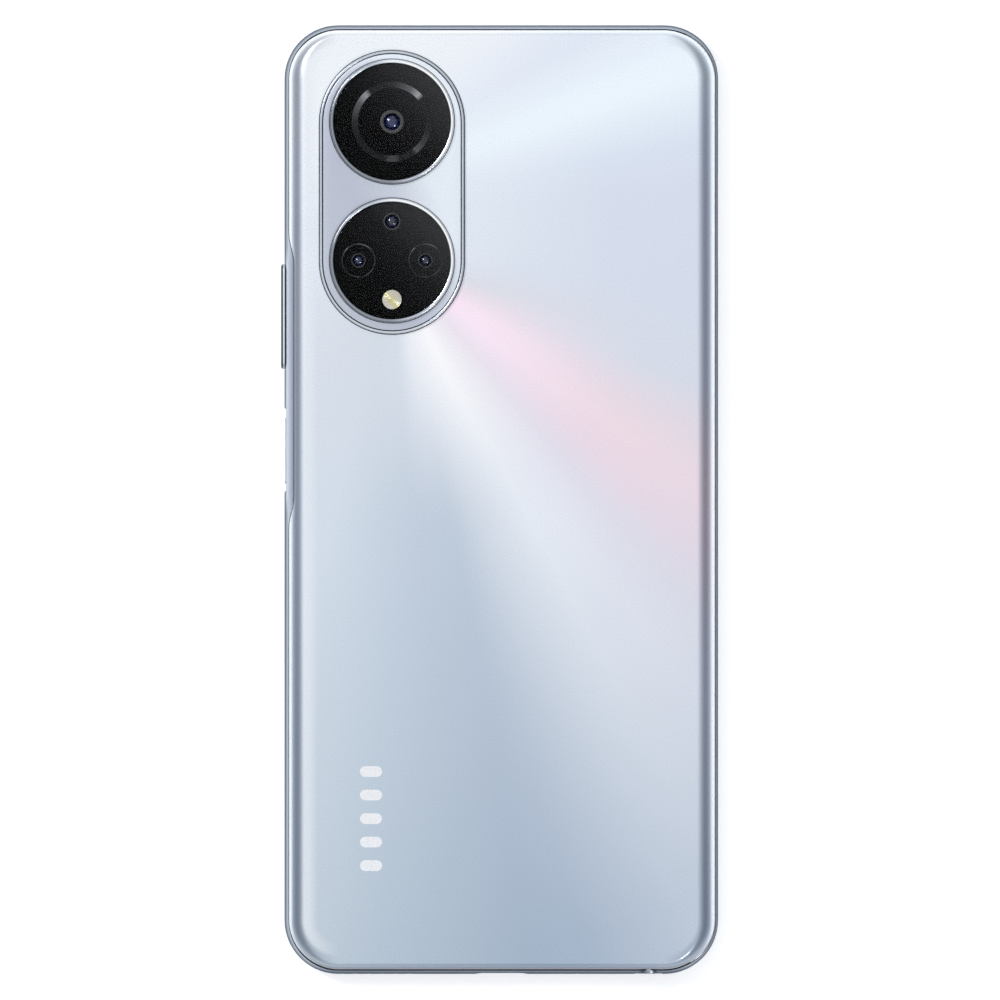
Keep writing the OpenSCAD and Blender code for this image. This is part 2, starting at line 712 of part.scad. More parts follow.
module speaker_mesh() color("#1c1e21")
    block([-29, -15.4], [-inner_h + 0.02, -inner_h + 0.14], [port_z - 0.9, port_z + 0.9]);

module microphone(x, y) {
    translate([x, y, 0]) block([-1.7, 1.7], [-1.3, 1.3], [board_top, board_top + 1]);
}

module microphones() color("#c9b25a") {
    microphone(13.5, -79.6);
    microphone(26.5, 79.2);
}

motor_r = 4;
motor_h = 2.7;
motor_z = board_top + 0.05;
rotor_gap = 0.6;
axle_r = 0.4;

module vibration_motor_case() color("#b9bdc2") translate([motor[0], motor[1], motor_z]) {
    difference() {
        cylinder(h = motor_h, r = motor_r);
        translate([0, 0, 0.25]) cylinder(h = motor_h - 0.5, r = motor_r - 0.25);
    }
    translate([0, 0, 0.1]) cylinder(h = motor_h - 0.2, r = axle_r);
}

module vibration_motor_rotor() color("#7d8288") translate([motor[0], motor[1], motor_z]) difference() {
    union() {
        translate([0, 0, rotor_gap]) cylinder(h = motor_h - 2 * rotor_gap, r = 1.2);
        intersection() {
            translate([0, 0, rotor_gap]) cylinder(h = motor_h - 2 * rotor_gap, r = motor_r - rotor_gap);
            block([-5, 5], [0, 5], [0, 5]);
        }
    }
    translate([0, 0, -1]) cylinder(h = 6, r = axle_r + 0.05);
}

// ---------------------------------------------------------------- battery and cables

module battery_cell() color("#2f3237") translate([0, battery_y, 0])
    slab(battery[0] / 2, battery[1] / 2, 1.5, battery_z, battery_z + battery[2]);

module battery_board() color("#b0732c") {
    block([-25, -6], [26.6, 29.6], [4.2, 5.2]);
    block([-16, -8], [29.6 - eps, 35], [board_top + 0.45, board_top + 0.6]);
    block([-16, -8], [29.6 - eps, 29.8], [board_top + 0.45, 5.2]);
}

module battery_adhesive() color("#e7e7e2")
    for (s = [-1, 1]) block([s * 18 - 7, s * 18 + 7], [-58, 22], [plate_top, battery_z]);

flex_t = 0.12;
flex_low = board_top + 0.45;          // where the flex ends on its connectors
flex_high = 7.28;                     // where it runs over the battery
flex_ends = [-68, 35];
flex_rise = [-62.9, 30.3];

module main_flex() color("#b0732c") translate([4, 0, 0]) rotate([90, 0, 90]) linear_extrude(12)
    difference() {
        polygon([
            [flex_ends[0], flex_low], [flex_ends[1], flex_low], [flex_ends[1], flex_low + flex_t],
            [flex_rise[1], flex_low + flex_t], [flex_rise[1], flex_high + flex_t],
            [flex_rise[0], flex_high + flex_t], [flex_rise[0], flex_low + flex_t],
            [flex_ends[0], flex_low + flex_t],
        ]);
        translate([flex_rise[0] + flex_t, flex_low - 1])
            square([flex_rise[1] - flex_rise[0] - 2 * flex_t, flex_high - flex_low + 1]);
    }

module coax_cable() color("#e2e2de") {
    ends = [36, -67];
    translate([34.4, ends[1], 4.25]) rotate([-90, 0, 0]) cylinder(h = ends[0] - ends[1], r = 0.4);
    for (y = ends) translate([34.4, y, board_top]) cylinder(h = 1.1, r = 1);
}

module graphite_sheet() color("#3c4046") block([-30, 30], [-60, 24], [7.12, 7.2]);

module screw(p, head) {
    translate([p[0], p[1], head]) difference() {
        cylinder(h = 0.5, r = 1.25);
        translate([0, 0, 0.2]) cylinder(h = 1, r = 0.45, $fn = 6);
    }
    translate([p[0], p[1], 2.1]) cylinder(h = head - 2.1 + eps, r = 0.7);
}

module board_screws() color("#6f747a") {
    for (p = board_screw_at) screw(p, head_z);
    for (p = sub_screw_at) screw(p, board_top);
    for (p = speaker_screw_at) screw(p, speaker_head_z);
}

// ---------------------------------------------------------------- keys

key_in = -inner_w + 0.1;              // outer face of a key's inside flange
flange_t = 0.3;

module key_body(y, l, h, x_out, x_in) {
    translate([(x_out + x_in) / 2, y, key_z]) rotate([90, 0, 90])
        linear_extrude(x_in - x_out, center = true) stadium(l, h);
}

module key_flange(y, half) {
    block([key_in, key_in + flange_t], [y - half, y + half], [key_z - flange_h / 2, key_z + flange_h / 2]);
}

module plunger(y) {
    translate([key_in, y, key_z]) rotate([0, 90, 0]) cylinder(h = 0.65, r = 0.7);
}

module volume_key() color("#c8d0dc") {
    key_body(volume_y, volume_len, key_h, -hw - volume_out, key_in + flange_t);
    key_flange(volume_y, 3);
    for (s = [-1, 1]) plunger(volume_y + s * dome_offset);
    // the round rib that the key rocks on
    translate([key_in + flange_t, volume_y, key_z - flange_h / 2]) cylinder(h = flange_h, r = 0.3);
}

sensor_back = -hw + 0.22;             // seat of the sensor in the power key

module power_key() color("#b9c3d3") difference() {
    union() {
        key_body(power_y, power_len, power_h, -hw + 0.02, key_in + flange_t);
        key_flange(power_y, 6.6);
        plunger(power_y);
    }
    key_body(power_y, power_len - 1, power_h - 1, -hw - 1, sensor_back);
}

module fingerprint_sensor() color("#8a94a6")
    key_body(power_y, power_len - 1.04, power_h - 1.04, -hw + 0.06, sensor_back);

module side_key_flex() color("#b0732c") {
    block([-35.1, -34.9], [-0.5, 41.5], [2.7, 5.7]);
    block([-34.9 - eps, -34.6], [14.8, 26], [3.2, 5.2]);
}

module key_domes() color("#d9dce0")
    for (y = [volume_y + dome_offset, volume_y - dome_offset, power_y])
        translate([-35.1, y, key_z]) rotate([0, -90, 0]) cylinder(h = 0.28, r1 = 1.3, r2 = 0.7);

// ---------------------------------------------------------------- drawing

side_frame();
mid_plate();
back_cover();
back_cover_adhesive();
camera_bezel();
camera_plate();
main_lens_ring();
aux_lens_ring();
main_lens_glass();
aux_lens_glass();
main_lens_mask();
aux_lens_mask();
main_camera_housing();
main_camera_barrel();
wide_camera();
depth_camera();
macro_camera();
flash_diffuser();
flash_led();
camera_bracket();
display_glass();
display_adhesive();
lcd_panel();
display_flex();
front_camera();
earpiece_receiver();
earpiece_diaphragm();
earpiece_mesh();
main_board();
board_shields();
board_connectors();
sim_reader();
sim_tray();
eject_rod();
eject_lever();
upper_bracket();
sub_board();
usb_c_shell();
usb_c_tongue();
headphone_jack();
jack_contacts();
loudspeaker_box();
loudspeaker_diaphragm();
speaker_mesh();
microphones();
vibration_motor_case();
vibration_motor_rotor();
battery_cell();
battery_board();
battery_adhesive();
main_flex();
coax_cable();
graphite_sheet();
board_screws();
volume_key();
power_key();
fingerprint_sensor();
side_key_flex();
key_domes();
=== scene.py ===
import math

import bmesh
import bpy
from mathutils import Matrix, Vector


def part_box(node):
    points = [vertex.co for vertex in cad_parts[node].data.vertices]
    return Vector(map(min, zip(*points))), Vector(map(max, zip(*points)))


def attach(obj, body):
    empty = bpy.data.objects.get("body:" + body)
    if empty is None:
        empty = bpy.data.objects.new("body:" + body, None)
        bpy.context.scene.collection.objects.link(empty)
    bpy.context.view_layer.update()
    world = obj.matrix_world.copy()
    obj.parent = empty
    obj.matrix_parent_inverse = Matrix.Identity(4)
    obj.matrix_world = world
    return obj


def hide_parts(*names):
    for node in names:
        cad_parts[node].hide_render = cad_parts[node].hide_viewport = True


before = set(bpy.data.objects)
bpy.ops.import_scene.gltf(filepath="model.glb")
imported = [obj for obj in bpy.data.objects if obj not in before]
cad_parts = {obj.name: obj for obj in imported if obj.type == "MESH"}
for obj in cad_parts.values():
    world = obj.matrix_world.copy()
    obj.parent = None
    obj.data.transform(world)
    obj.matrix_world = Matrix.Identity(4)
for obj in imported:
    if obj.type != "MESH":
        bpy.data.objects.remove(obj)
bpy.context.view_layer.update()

# ------------------------------------------------------------------ studio
# A phone lies on its display on a white table, under a white tent with a darker band near the
# horizon. Two soft lamps stand left and right. The camera looks straight down on the back.
METRE = 0.001                 # one millimetre in metres
LENS = 900.0
SENSOR = 36.0
PICTURE_WIDTH = 0.17668       # width of what the camera sees at the frame's widest level
WIDEST_LEVEL = 0.0042
PICTURE_CENTRE = (-0.00023, -0.00007)
TENT_GLOW = 1.14
SIDE_SPREAD = 1.7             # how far round the dark band reaches from east and west
SOUTH_SPREAD = 0.8            # the same from the south
FLOOR_DROP = 0.00005          # gap between the table and the display glass


def linear(colour):
    """Linear red, green, blue and alpha of an sRGB hex colour."""
    parts = [int(colour[i:i + 2], 16) / 255 for i in (0, 2, 4)]
    return [c / 12.92 if c <= 0.04045 else ((c + 0.055) / 1.055) ** 2.4 for c in parts] + [1.0]


def add(tree, kind, inputs=None, out=0, stops=None, **settings):
    """Adds a shader node, sets and links its inputs, and returns one of its outputs."""
    node = tree.nodes.new("ShaderNode" + kind)
    for key, value in settings.items():
        setattr(node, key, value)
    for key, value in (inputs or {}).items():
        if isinstance(value, bpy.types.NodeSocket):
            tree.links.new(value, node.inputs[key])
        else:
            node.inputs[key].default_value = value
    if stops:
        ramp = node.color_ramp
        while len(ramp.elements) < len(stops):
            ramp.elements.new(0.5)
        for element, (place, colour) in zip(ramp.elements, stops):
            element.position = place
            element.color = linear(colour)
    return node.outputs[out] if len(node.outputs) else None


def blank_finish(name):
    """A new material with no nodes yet, and its tree."""
    made = bpy.data.materials.new(name)
    made.use_nodes = True
    made.node_tree.nodes.clear()
    return made, made.node_tree


camera = bpy.data.objects.new("camera", bpy.data.cameras.new("camera"))
camera.data.lens = LENS
camera.data.sensor_width = SENSOR
distance = PICTURE_WIDTH / 2 / (SENSOR / 2 / LENS)
camera.location = (*PICTURE_CENTRE, WIDEST_LEVEL + distance)
bpy.context.scene.collection.objects.link(camera)
bpy.context.scene.camera = camera
bpy.context.scene.view_settings.view_transform = "Standard"

for name, place, size, power in (
    ("lamp_left", (-0.72, 0.5, 1.15), 0.4, 7.0),
    ("lamp_right", (0.6, -0.75, 1.2), 0.25, 3.0),
):
    lamp = bpy.data.objects.new(name, bpy.data.lights.new(name, "AREA"))
    lamp.data.size = size
    lamp.data.energy = power
    lamp.location = place
    lamp.rotation_euler = (-Vector(place)).to_track_quat("-Z", "Y").to_euler()
    bpy.context.scene.collection.objects.link(lamp)

tent = bpy.data.worlds.new("tent")
bpy.context.scene.world = tent
tent.use_nodes = True
tree = tent.node_tree
tree.nodes.clear()
direction = add(tree, "TexCoord")
east = add(tree, "SeparateXYZ", {0: direction})
north = add(tree, "SeparateXYZ", {0: direction}, out=1)
height = add(tree, "SeparateXYZ", {0: direction}, out=2)
level = add(tree, "MapRange", {0: height, 1: -1.0, 2: 1.0})
dark_side = add(tree, "ValToRGB", {0: level}, stops=[
    (0.0, "f0f0f0"), (0.5, "e0e2e4"), (0.57, "b8bcc2"), (0.66, "787e86"), (0.75, "525860"),
    (0.82, "5c626a"), (0.89, "9298a0"), (0.95, "e0e3e6"), (1.0, "f4f5f7"),
])
light_side = add(tree, "ValToRGB", {0: level}, stops=[(0.0, "f0f0f0"), (0.6, "e6e8ea"), (1.0, "f4f5f7")])
sideways = add(tree, "Math", {0: east}, operation="ABSOLUTE")
sideways = add(tree, "Math", {0: sideways, 1: SIDE_SPREAD}, operation="MULTIPLY")
southward = add(tree, "Math", {0: north, 1: -SOUTH_SPREAD}, operation="MULTIPLY")
dark_part = add(tree, "Math", {0: sideways, 1: southward}, operation="MAXIMUM", use_clamp=True)
shade = add(tree, "Mix", {0: dark_part, 6: light_side, 7: dark_side}, out=2, data_type="RGBA")
glow = add(tree, "Background", {0: shade, 1: TENT_GLOW})
add(tree, "OutputWorld", {0: glow})

floor_bm = bmesh.new()
bmesh.ops.create_grid(floor_bm, x_segments=1, y_segments=1, size=4.0)
bmesh.ops.translate(floor_bm, vec=(0, 0, -FLOOR_DROP), verts=floor_bm.verts)
floor_mesh = bpy.data.meshes.new("floor")
floor_bm.to_mesh(floor_mesh)
floor_bm.free()
floor = bpy.data.objects.new("floor", floor_mesh)
bpy.context.scene.collection.objects.link(floor)
# matt white laminate that glows faintly, so that its shadows stay soft; it is clear from below
table_top, tree = blank_finish("white_laminate")
grain = add(tree, "TexNoise", {"Scale": 0.04 / METRE, "Detail": 3.0})
tone = add(tree, "ValToRGB", {0: grain}, stops=[(0.0, "f8f8f8"), (1.0, "fdfdfd")])
white = add(tree, "BsdfPrincipled", {
    "Base Color": tone, "Roughness": 0.8, "Emission Color": linear("ffffff"), "Emission Strength": 0.4,
})
clear = add(tree, "BsdfTransparent")
underside = add(tree, "NewGeometry", out=6)
surface = add(tree, "MixShader", {0: underside, 1: white, 2: clear})
add(tree, "OutputMaterial", {0: surface})
floor.data.materials.append(table_top)

# ------------------------------------------------------------------ side frame
# The side frame is one polycarbonate moulding with a curved wall, lacquered silver-blue. Slots
# for the keys and the tray, the sockets and the sound holes are cut through its wall.
frame_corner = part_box("side_frame")[1] / METRE
HALF_W = frame_corner.x
HALF_H = frame_corner.y
CORNER = 9.5                  # radius of the four corners in plan
BULGE_Z = 4.2                 # widest level of the wall
FRONT_REACH = 1.58            # how far the wall would curve in towards the display
FRONT_INSET = 0.947           # where that curve stops, at the front lip
BACK_REACH = 4.0              # how far the wall and the cover curve in towards the flat back
END_REACH = 2.1               # the same at the two short ends
BACK_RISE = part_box("back_cover")[1].z / METRE - BULGE_Z
RIM = 0.68                    # width of the frame's rim seen from behind
TRAY_RIM = 0.33               # the same on the card tray's side
LOW_RIM = 0.6                 # the same at the lower end
KEY_RIM = 1.61                # the same beside the keys
KEY_ZONE = (0.5, 41.6)        # stretch beside the keys, and the ramps at its ends
KEY_RAMP = 5.4
LIP_INSET = 1.45              # the lip round the display glass
LIP_Z = 0.85
LEDGE_INSET = 2.9             # the ledge that carries the chassis
LEDGE_Z = 2.0
WALL_INSET = 1.8              # inner face of the wall
WALL_TOP = 6.5
LAND_WIDTH = 0.06             # the step down from the seam to the cover's tape
LAND_DROP = 0.03
CORNER_STEPS = 14
SIDE_STEPS = 120


def smooth(t):
    """Eases from 0 to 1."""
    t = min(max(t, 0.0), 1.0)
    return t * t * (3 - 2 * t)


def seam_rim(x, y):
    """Width of the rim at a place on the outline: wider beside the keys, narrower opposite them."""
    if x > 0:
        return RIM + (TRAY_RIM - RIM) * smooth((x - HALF_W + CORNER) / CORNER)
    start = smooth((y - KEY_ZONE[0] + KEY_RAMP) / KEY_RAMP)
    end = smooth((KEY_ZONE[1] + KEY_RAMP - y) / KEY_RAMP)
    return RIM + (KEY_RIM - RIM) * min(start, end)


def end_rim(y):
    """Width of the rim at the two short ends."""
    return LOW_RIM if y < 0 else RIM


def seam_angle(x, y):
    """Where the seam lies round the upper skin's curve."""
    return math.acos(1 - seam_rim(x, y) / BACK_REACH)


def inset_at(angle, x, y):
    """Inset along X and Y, and height, of the upper skin at an angle round its curve."""
    side = BACK_REACH * (1 - math.cos(angle))
    seam = seam_angle(x, y)
    end = end_rim(y)
    if angle < seam:
        end = side * end / seam_rim(x, y)
    else:
        end += (END_REACH - end) * (math.cos(seam) - math.cos(angle)) / math.cos(seam)
    return side, end, BULGE_Z + BACK_RISE * math.sin(angle)


def wall_at(x, y, part):
    """The skin below the seam: part 0 is the widest level and part 1 the seam."""
    return inset_at(part * seam_angle(x, y), x, y)


def cover_at(x, y, part):
    """The skin above the seam: part 0 is the seam and part 1 the flat back."""
    seam = seam_angle(x, y)
    return inset_at(seam + part * (math.pi / 2 - seam), x, y)


def outline(bm, half_w, half_h, corner, side_steps=0):
    """Edges of a rounded rectangle at height 0; its left side may be cut into steps."""
    made = bmesh.ops.create_grid(bm, x_segments=1, y_segments=1, size=1)
    bmesh.ops.scale(bm, vec=(half_w, half_h, 1), verts=made["verts"])
    face = made["verts"][0].link_faces[0]
    bmesh.ops.bevel(bm, geom=face.verts[:], offset=corner, affect="VERTICES", segments=CORNER_STEPS,
                    profile=0.5, material=-1)
    face = max(bm.faces, key=lambda f: f.calc_area())
    edges = face.edges[:]
    if side_steps:
        left = [e for e in edges if e.calc_length() > corner
                and all(v.co.x < -half_w + 0.01 for v in e.verts)]
        bmesh.ops.subdivide_edges(bm, edges=left, cuts=side_steps)
        face = max(bm.faces, key=lambda f: f.calc_area())
        edges = face.edges[:]
    bmesh.ops.delete(bm, geom=[face], context="FACES_ONLY")
    return edges


def place_ring(edges, ring, homes):
    """Moves a ring of the outline to its insets and height; corners shrink about their centres."""
    for v in {v for e in edges for v in e.verts}:
        x, y, _ = homes[v]
        dx, dy, z = ring(x, y)
        centre_x = math.copysign(HALF_W - CORNER, x)
        centre_y = math.copysign(HALF_H - CORNER, y)
        if abs(x) > HALF_W - CORNER:
            x = centre_x + (x - centre_x) * (CORNER - dx) / CORNER
        if abs(y) > HALF_H - CORNER:
            y = centre_y + (y - centre_y) * (CORNER - dy) / CORNER
        v.co = (x, y, z)


def stacked(bm, rings, side_steps=0):
    """A skin round the phone through rings, each a function of a place on the outline that gives
    its insets and height; returns its first and last edges."""
    first = edges = outline(bm, HALF_W, HALF_H, CORNER, side_steps)
    homes = {v: v.co.copy() for e in edges for v in e.verts}
    place_ring(edges, rings[0], homes)
    for ring in rings[1:]:
        old = {v: homes[v] for e in edges for v in e.verts}
        made = bmesh.ops.extrude_edge_only(bm, edges=edges)["geom"]
        edges = [g for g in made if isinstance(g, bmesh.types.BMEdge)]
        for v in {v for e in edges for v in e.verts}:
            source = next(e.other_vert(v) for e in v.link_edges if e.other_vert(v) in old)
            homes[v] = old[source]
        place_ring(edges, ring, homes)
    return first, edges


def fixed(inset, z, end_inset=None):
    """A level ring with the same inset all round, or with another one at the two short ends."""
    return lambda x, y: (inset, inset if end_inset is None else end_inset, z)


def finish_piece(name, bm, materials, body, stands_for=(), sharp=35.0):
    """Turns a mesh in millimetres into a piece that rides on a body and may stand for CAD nodes."""
    bmesh.ops.recalc_face_normals(bm, faces=bm.faces)
    bmesh.ops.scale(bm, vec=(METRE,) * 3, verts=bm.verts)
    mesh = bpy.data.meshes.new(name)
    bm.to_mesh(mesh)
    bm.free()
    mesh.polygons.foreach_set("use_smooth", [True] * len(mesh.polygons))
    mesh.set_sharp_from_angle(angle=math.radians(sharp))
    for made in materials:
        mesh.materials.append(made)
    piece = bpy.data.objects.new(name, mesh)
    bpy.context.scene.collection.objects.link(piece)
    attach(piece, body)
    if stands_for:
        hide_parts(*stands_for)
    return piece


def carved(bm, cutter):
    """The mesh with the cutter's solids taken out; the cut faces keep the cutter's slot number."""
    held = []
    for name, source in (("blank", bm), ("cutter", cutter)):
        bmesh.ops.recalc_face_normals(source, faces=source.faces)
        mesh = bpy.data.meshes.new(name)
        source.to_mesh(mesh)
        source.free()
        held.append(bpy.data.objects.new(name, mesh))
        bpy.context.scene.collection.objects.link(held[-1])
    blank, tool = held
    cut = blank.modifiers.new("cut", "BOOLEAN")
    cut.object = tool
    cut.operation = "DIFFERENCE"
    cut.solver = "EXACT"
    shaped = blank.evaluated_get(bpy.context.evaluated_depsgraph_get()).to_mesh()
    result = bmesh.new()
    result.from_mesh(shaped)
    for made in held:
        bpy.data.objects.remove(made)
    bmesh.ops.remove_doubles(result, verts=result.verts, dist=0.0005)
    return result


def pill_solid(bm, centre, length, width, depth, along, out, steps=10):
    """A closed bar with round ends: its length runs along one axis and its depth along another."""
    made = bmesh.ops.create_grid(bm, x_segments=1, y_segments=1, size=0.5)
    verts = made["verts"]
    bmesh.ops.scale(bm, vec=(length, width, 1), verts=verts)
    seen = set(bm.verts) - set(verts)
    bmesh.ops.bevel(bm, geom=verts, offset=width / 2 - 0.001, affect="VERTICES", segments=steps,
                    profile=0.5, material=-1)
    verts = [v for v in bm.verts if v not in seen]
    face = verts[0].link_faces[0]
    made = bmesh.ops.extrude_face_region(bm, geom=[face])["geom"]
    top = [g for g in made if isinstance(g, bmesh.types.BMVert)]
    bmesh.ops.translate(bm, vec=(0, 0, depth), verts=top)
    across = Vector(out).cross(Vector(along))
    turn = Matrix((along, across, out)).transposed().to_4x4()
    turn.translation = Vector(centre)
    bmesh.ops.transform(bm, matrix=turn, verts=verts + top)
    return verts + top


def drill(bm, centre, radius, depth, out, steps=24):
    """A closed rod from a point along an axis."""
    turn = Vector(out).to_track_quat("Z", "Y").to_matrix().to_4x4()
    turn.translation = Vector(centre) + Vector(out) * depth / 2
    return bmesh.ops.create_cone(bm, cap_ends=True, segments=steps, radius1=radius, radius2=radius,
                                 depth=depth, matrix=turn)["verts"]


EDGE_TINT = linear("70757c")  # colour that lacquer reflects at a glance


# Lacquer: satin, with a fine metal flake that sparkles under the lamps.
def lacquered(name, colour, dark, flake_mm, roughness, metallic):
    """Metallic lacquer in one colour with a fine flake."""
    made, tree = blank_finish(name)
    place = add(tree, "TexCoord", out=3)
    flake = add(tree, "TexVoronoi", {"Vector": place, "Scale": 1 / (flake_mm * METRE)})
    spread = add(tree, "TexNoise", {"Vector": place, "Scale": 0.09 / METRE, "Detail": 2.0})
    mixed = add(tree, "Math", {0: flake, 1: spread}, operation="MULTIPLY")
    tone = add(tree, "ValToRGB", {0: mixed}, stops=[(0.0, colour), (0.9, dark)])
    rough = add(tree, "MapRange", {0: flake, 1: 0.0, 2: 1.0, 3: roughness - 0.05, 4: roughness + 0.08})
    shader = add(tree, "BsdfPrincipled", {
        "Base Color": tone, "Roughness": rough, "Metallic": metallic, "Specular Tint": EDGE_TINT,
    })
    add(tree, "OutputMaterial", {0: shader})
    return made


# The frame's satin lacquer carries painted shade and light: a darker band part way up the wall and a darker
# lower end are painted shade; beside the keys the wall above that band is painted paler, as a painted
# highlight.
frame_lacquer, tree = blank_finish("satin_lacquered_polycarbonate_frame")
place = add(tree, "TexCoord", out=3)
height = add(tree, "SeparateXYZ", {0: place}, out=2)
flake = add(tree, "TexNoise", {"Vector": place, "Scale": 7 / METRE, "Detail": 2.0})
wobble = add(tree, "MapRange", {0: flake, 1: 0.3, 2: 0.7, 3: -0.012, 4: 0.012})
level = add(tree, "MapRange", {0: height, 1: 0.0, 2: 0.008})
level = add(tree, "Math", {0: level, 1: wobble}, operation="ADD")
# painted shade: the tone darkens in a band near 5.3 mm up the wall, between its widest level and the seam
tone = add(tree, "ValToRGB", {0: level}, stops=[
    (0.0, "a4abb5"), (0.45, "99a0aa"), (0.66, "858c96"), (0.73, "a2a9b2"), (0.8, "b0b8c2"),
    (0.84, "bec6d0"), (0.97, "a0a9b7"),
])
# painted highlight: beside the keys the wall above the dark band is painted paler
painted_light_beside_keys = add(tree, "ValToRGB", {0: level}, stops=[
    (0.0, "a4abb5"), (0.45, "99a0aa"), (0.62, "878e98"), (0.7, "a8b0ba"), (0.75, "d6dde7"),
    (0.8, "d0d8e2"), (0.86, "b4bcc9"), (0.97, "98a1b0"),
])
east = add(tree, "SeparateXYZ", {0: place})
north = add(tree, "SeparateXYZ", {0: place}, out=1)
keys_middle = sum(KEY_ZONE) / 2 * METRE
keys_half = (KEY_ZONE[1] - KEY_ZONE[0]) / 2 * METRE
from_keys = add(tree, "Math", {0: north, 1: keys_middle}, operation="SUBTRACT")
from_keys = add(tree, "Math", {0: from_keys}, operation="ABSOLUTE")
painted_light_key_mask = add(tree, "MapRange", {0: from_keys, 1: keys_half, 2: keys_half + 3 * METRE, 3: 1.0, 4: 0.0})
left_half = add(tree, "Math", {0: east, 1: 0.0}, operation="LESS_THAN")
painted_light_key_mask = add(tree, "Math", {0: painted_light_key_mask, 1: left_half}, operation="MULTIPLY")
tone = add(tree, "Mix", {0: painted_light_key_mask, 6: tone, 7: painted_light_beside_keys}, out=2, data_type="RGBA")
# painted shade: the lower end of the frame is darker
lower_end_shade_part = add(tree, "MapRange", {
    0: north, 1: (0.2 - HALF_H) * METRE, 2: (1.6 - HALF_H) * METRE, 3: 0.8, 4: 0.0,
})
tone = add(tree, "Mix", {0: lower_end_shade_part, 6: tone, 7: linear("6c7480")}, out=2, data_type="RGBA")
rough = add(tree, "MapRange", {0: flake, 1: 0.3, 2: 0.7, 3: 0.26, 4: 0.36})
shader = add(tree, "BsdfPrincipled", {
    "Base Color": tone, "Roughness": rough, "Metallic": 0.85, "Specular Tint": EDGE_TINT,
})
add(tree, "OutputMaterial", {0: shader})
# the cut walls of the slots, sockets and sound holes are painted dark grey, as painted shade inside them
slot_walls_painted_shade = lacquered("slot_walls_painted_shade_grey", "3c4046", "2c2f34", 0.2, 0.6, 0.0)

wall = bmesh.new()
front_angle = math.acos(1 - FRONT_INSET / FRONT_REACH)
rings = [fixed(FRONT_REACH * (1 - math.cos(a)), BULGE_Z * (1 - math.sin(a)))
         for a in (front_angle * (1 - i / 10) for i in range(10))]
rings += [lambda x, y, t=i / 8: wall_at(x, y, t) for i in range(9)]


def seam_floor(x, y):
    """The flat land just inside the seam that the cover's tape sticks to."""
    seam_z = BULGE_Z + BACK_RISE * math.sin(seam_angle(x, y))
    return seam_rim(x, y) + LAND_WIDTH, end_rim(y) + LAND_WIDTH, seam_z - LAND_DROP


rings += [
    seam_floor, fixed(WALL_INSET, WALL_TOP), fixed(WALL_INSET, LEDGE_Z), fixed(LEDGE_INSET, LEDGE_Z),
    fixed(LEDGE_INSET, LIP_Z), fixed(LIP_INSET, LIP_Z), fixed(LIP_INSET, 0.39),
    fixed(LIP_INSET - 0.04, 0.35),
]
first, last = stacked(wall, rings, SIDE_STEPS)
bmesh.ops.bridge_loops(wall, edges=first + last)

PORT_Z = 4.2                  # middle of the sockets, keys and sound holes
USB_W, USB_H = 9.14, 3.36
JACK_HOLE_R = 2.55
SPEAKER_HOLE_R = 0.6
SPEAKER_X = -28.2             # the first of six speaker holes
SPEAKER_PITCH = 2.4
MIC_HOLE_R = 0.5
LOW_MIC_X = 13.5
HIGH_MIC_X = 26.5
CUT_START = 3                 # every cut through the wall starts this far inside
CUT_DEPTH = 5
jack_low, jack_high = (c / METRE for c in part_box("headphone_jack"))
jack_x = (jack_low.x + jack_high.x) / 2
volume_low, volume_high = (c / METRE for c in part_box("volume_key"))
power_low, power_high = (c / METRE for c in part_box("fingerprint_sensor"))
tray_low, tray_high = (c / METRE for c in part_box("sim_tray"))
TRAY_LENGTH, TRAY_HEIGHT, TRAY_Z = 15.8, 3.2, 4.3
VOLUME_LENGTH = volume_high.y - volume_low.y
volume_y = (volume_low.y + volume_high.y) / 2
power_y = (power_low.y + power_high.y) / 2
tray_y = (tray_low.y + tray_high.y) / 2
POWER_LENGTH = 12.7
SCOOP_DEPTH = 0.32
SCOOP_LENGTH = 17.5
SCOOP_TAPER = 0.82            # how much shorter the scoop is at its floor
# the finger scoop round the power key: a shallow bar laid into the wall, with sloping ends
scoop = bmesh.new()
verts = bmesh.ops.create_cube(scoop, size=1)["verts"]
bmesh.ops.scale(scoop, vec=(2, SCOOP_LENGTH, 12), verts=verts)
bmesh.ops.translate(scoop, vec=(-HALF_W + SCOOP_DEPTH - 1, power_y + 0.2, 3.0), verts=verts)
ends = [v for v in verts if v.co.x > -HALF_W]
bmesh.ops.scale(scoop, vec=(1, SCOOP_TAPER, 1), space=Matrix.Translation((0, -power_y, 0)), verts=ends)
wall = carved(wall, scoop)
cutter = bmesh.new()
cut_y = -HALF_H + CUT_START
pill_solid(cutter, (0, cut_y, PORT_Z), USB_W, USB_H, CUT_DEPTH, (1, 0, 0), (0, -1, 0))
drill(cutter, (jack_x, cut_y, PORT_Z), JACK_HOLE_R, CUT_DEPTH, (0, -1, 0), 40)
for i in range(6):
    drill(cutter, (SPEAKER_X + SPEAKER_PITCH * i, cut_y, PORT_Z), SPEAKER_HOLE_R, CUT_DEPTH, (0, -1, 0), 20)
drill(cutter, (LOW_MIC_X, cut_y, PORT_Z), MIC_HOLE_R, CUT_DEPTH, (0, -1, 0), 20)
drill(cutter, (HIGH_MIC_X, -cut_y, PORT_Z), MIC_HOLE_R, CUT_DEPTH, (0, 1, 0), 20)
cut_x = -HALF_W + CUT_START
for y, length, height in ((volume_y, VOLUME_LENGTH + 0.9, 3.4), (power_y, POWER_LENGTH + 0.2, 2.8)):
    pill_solid(cutter, (cut_x, y, PORT_Z), length, height, CUT_DEPTH, (0, 1, 0), (-1, 0, 0))
pill_solid(cutter, (-cut_x, tray_y, TRAY_Z), TRAY_LENGTH, TRAY_HEIGHT, CUT_DEPTH, (0, 1, 0), (1, 0, 0))
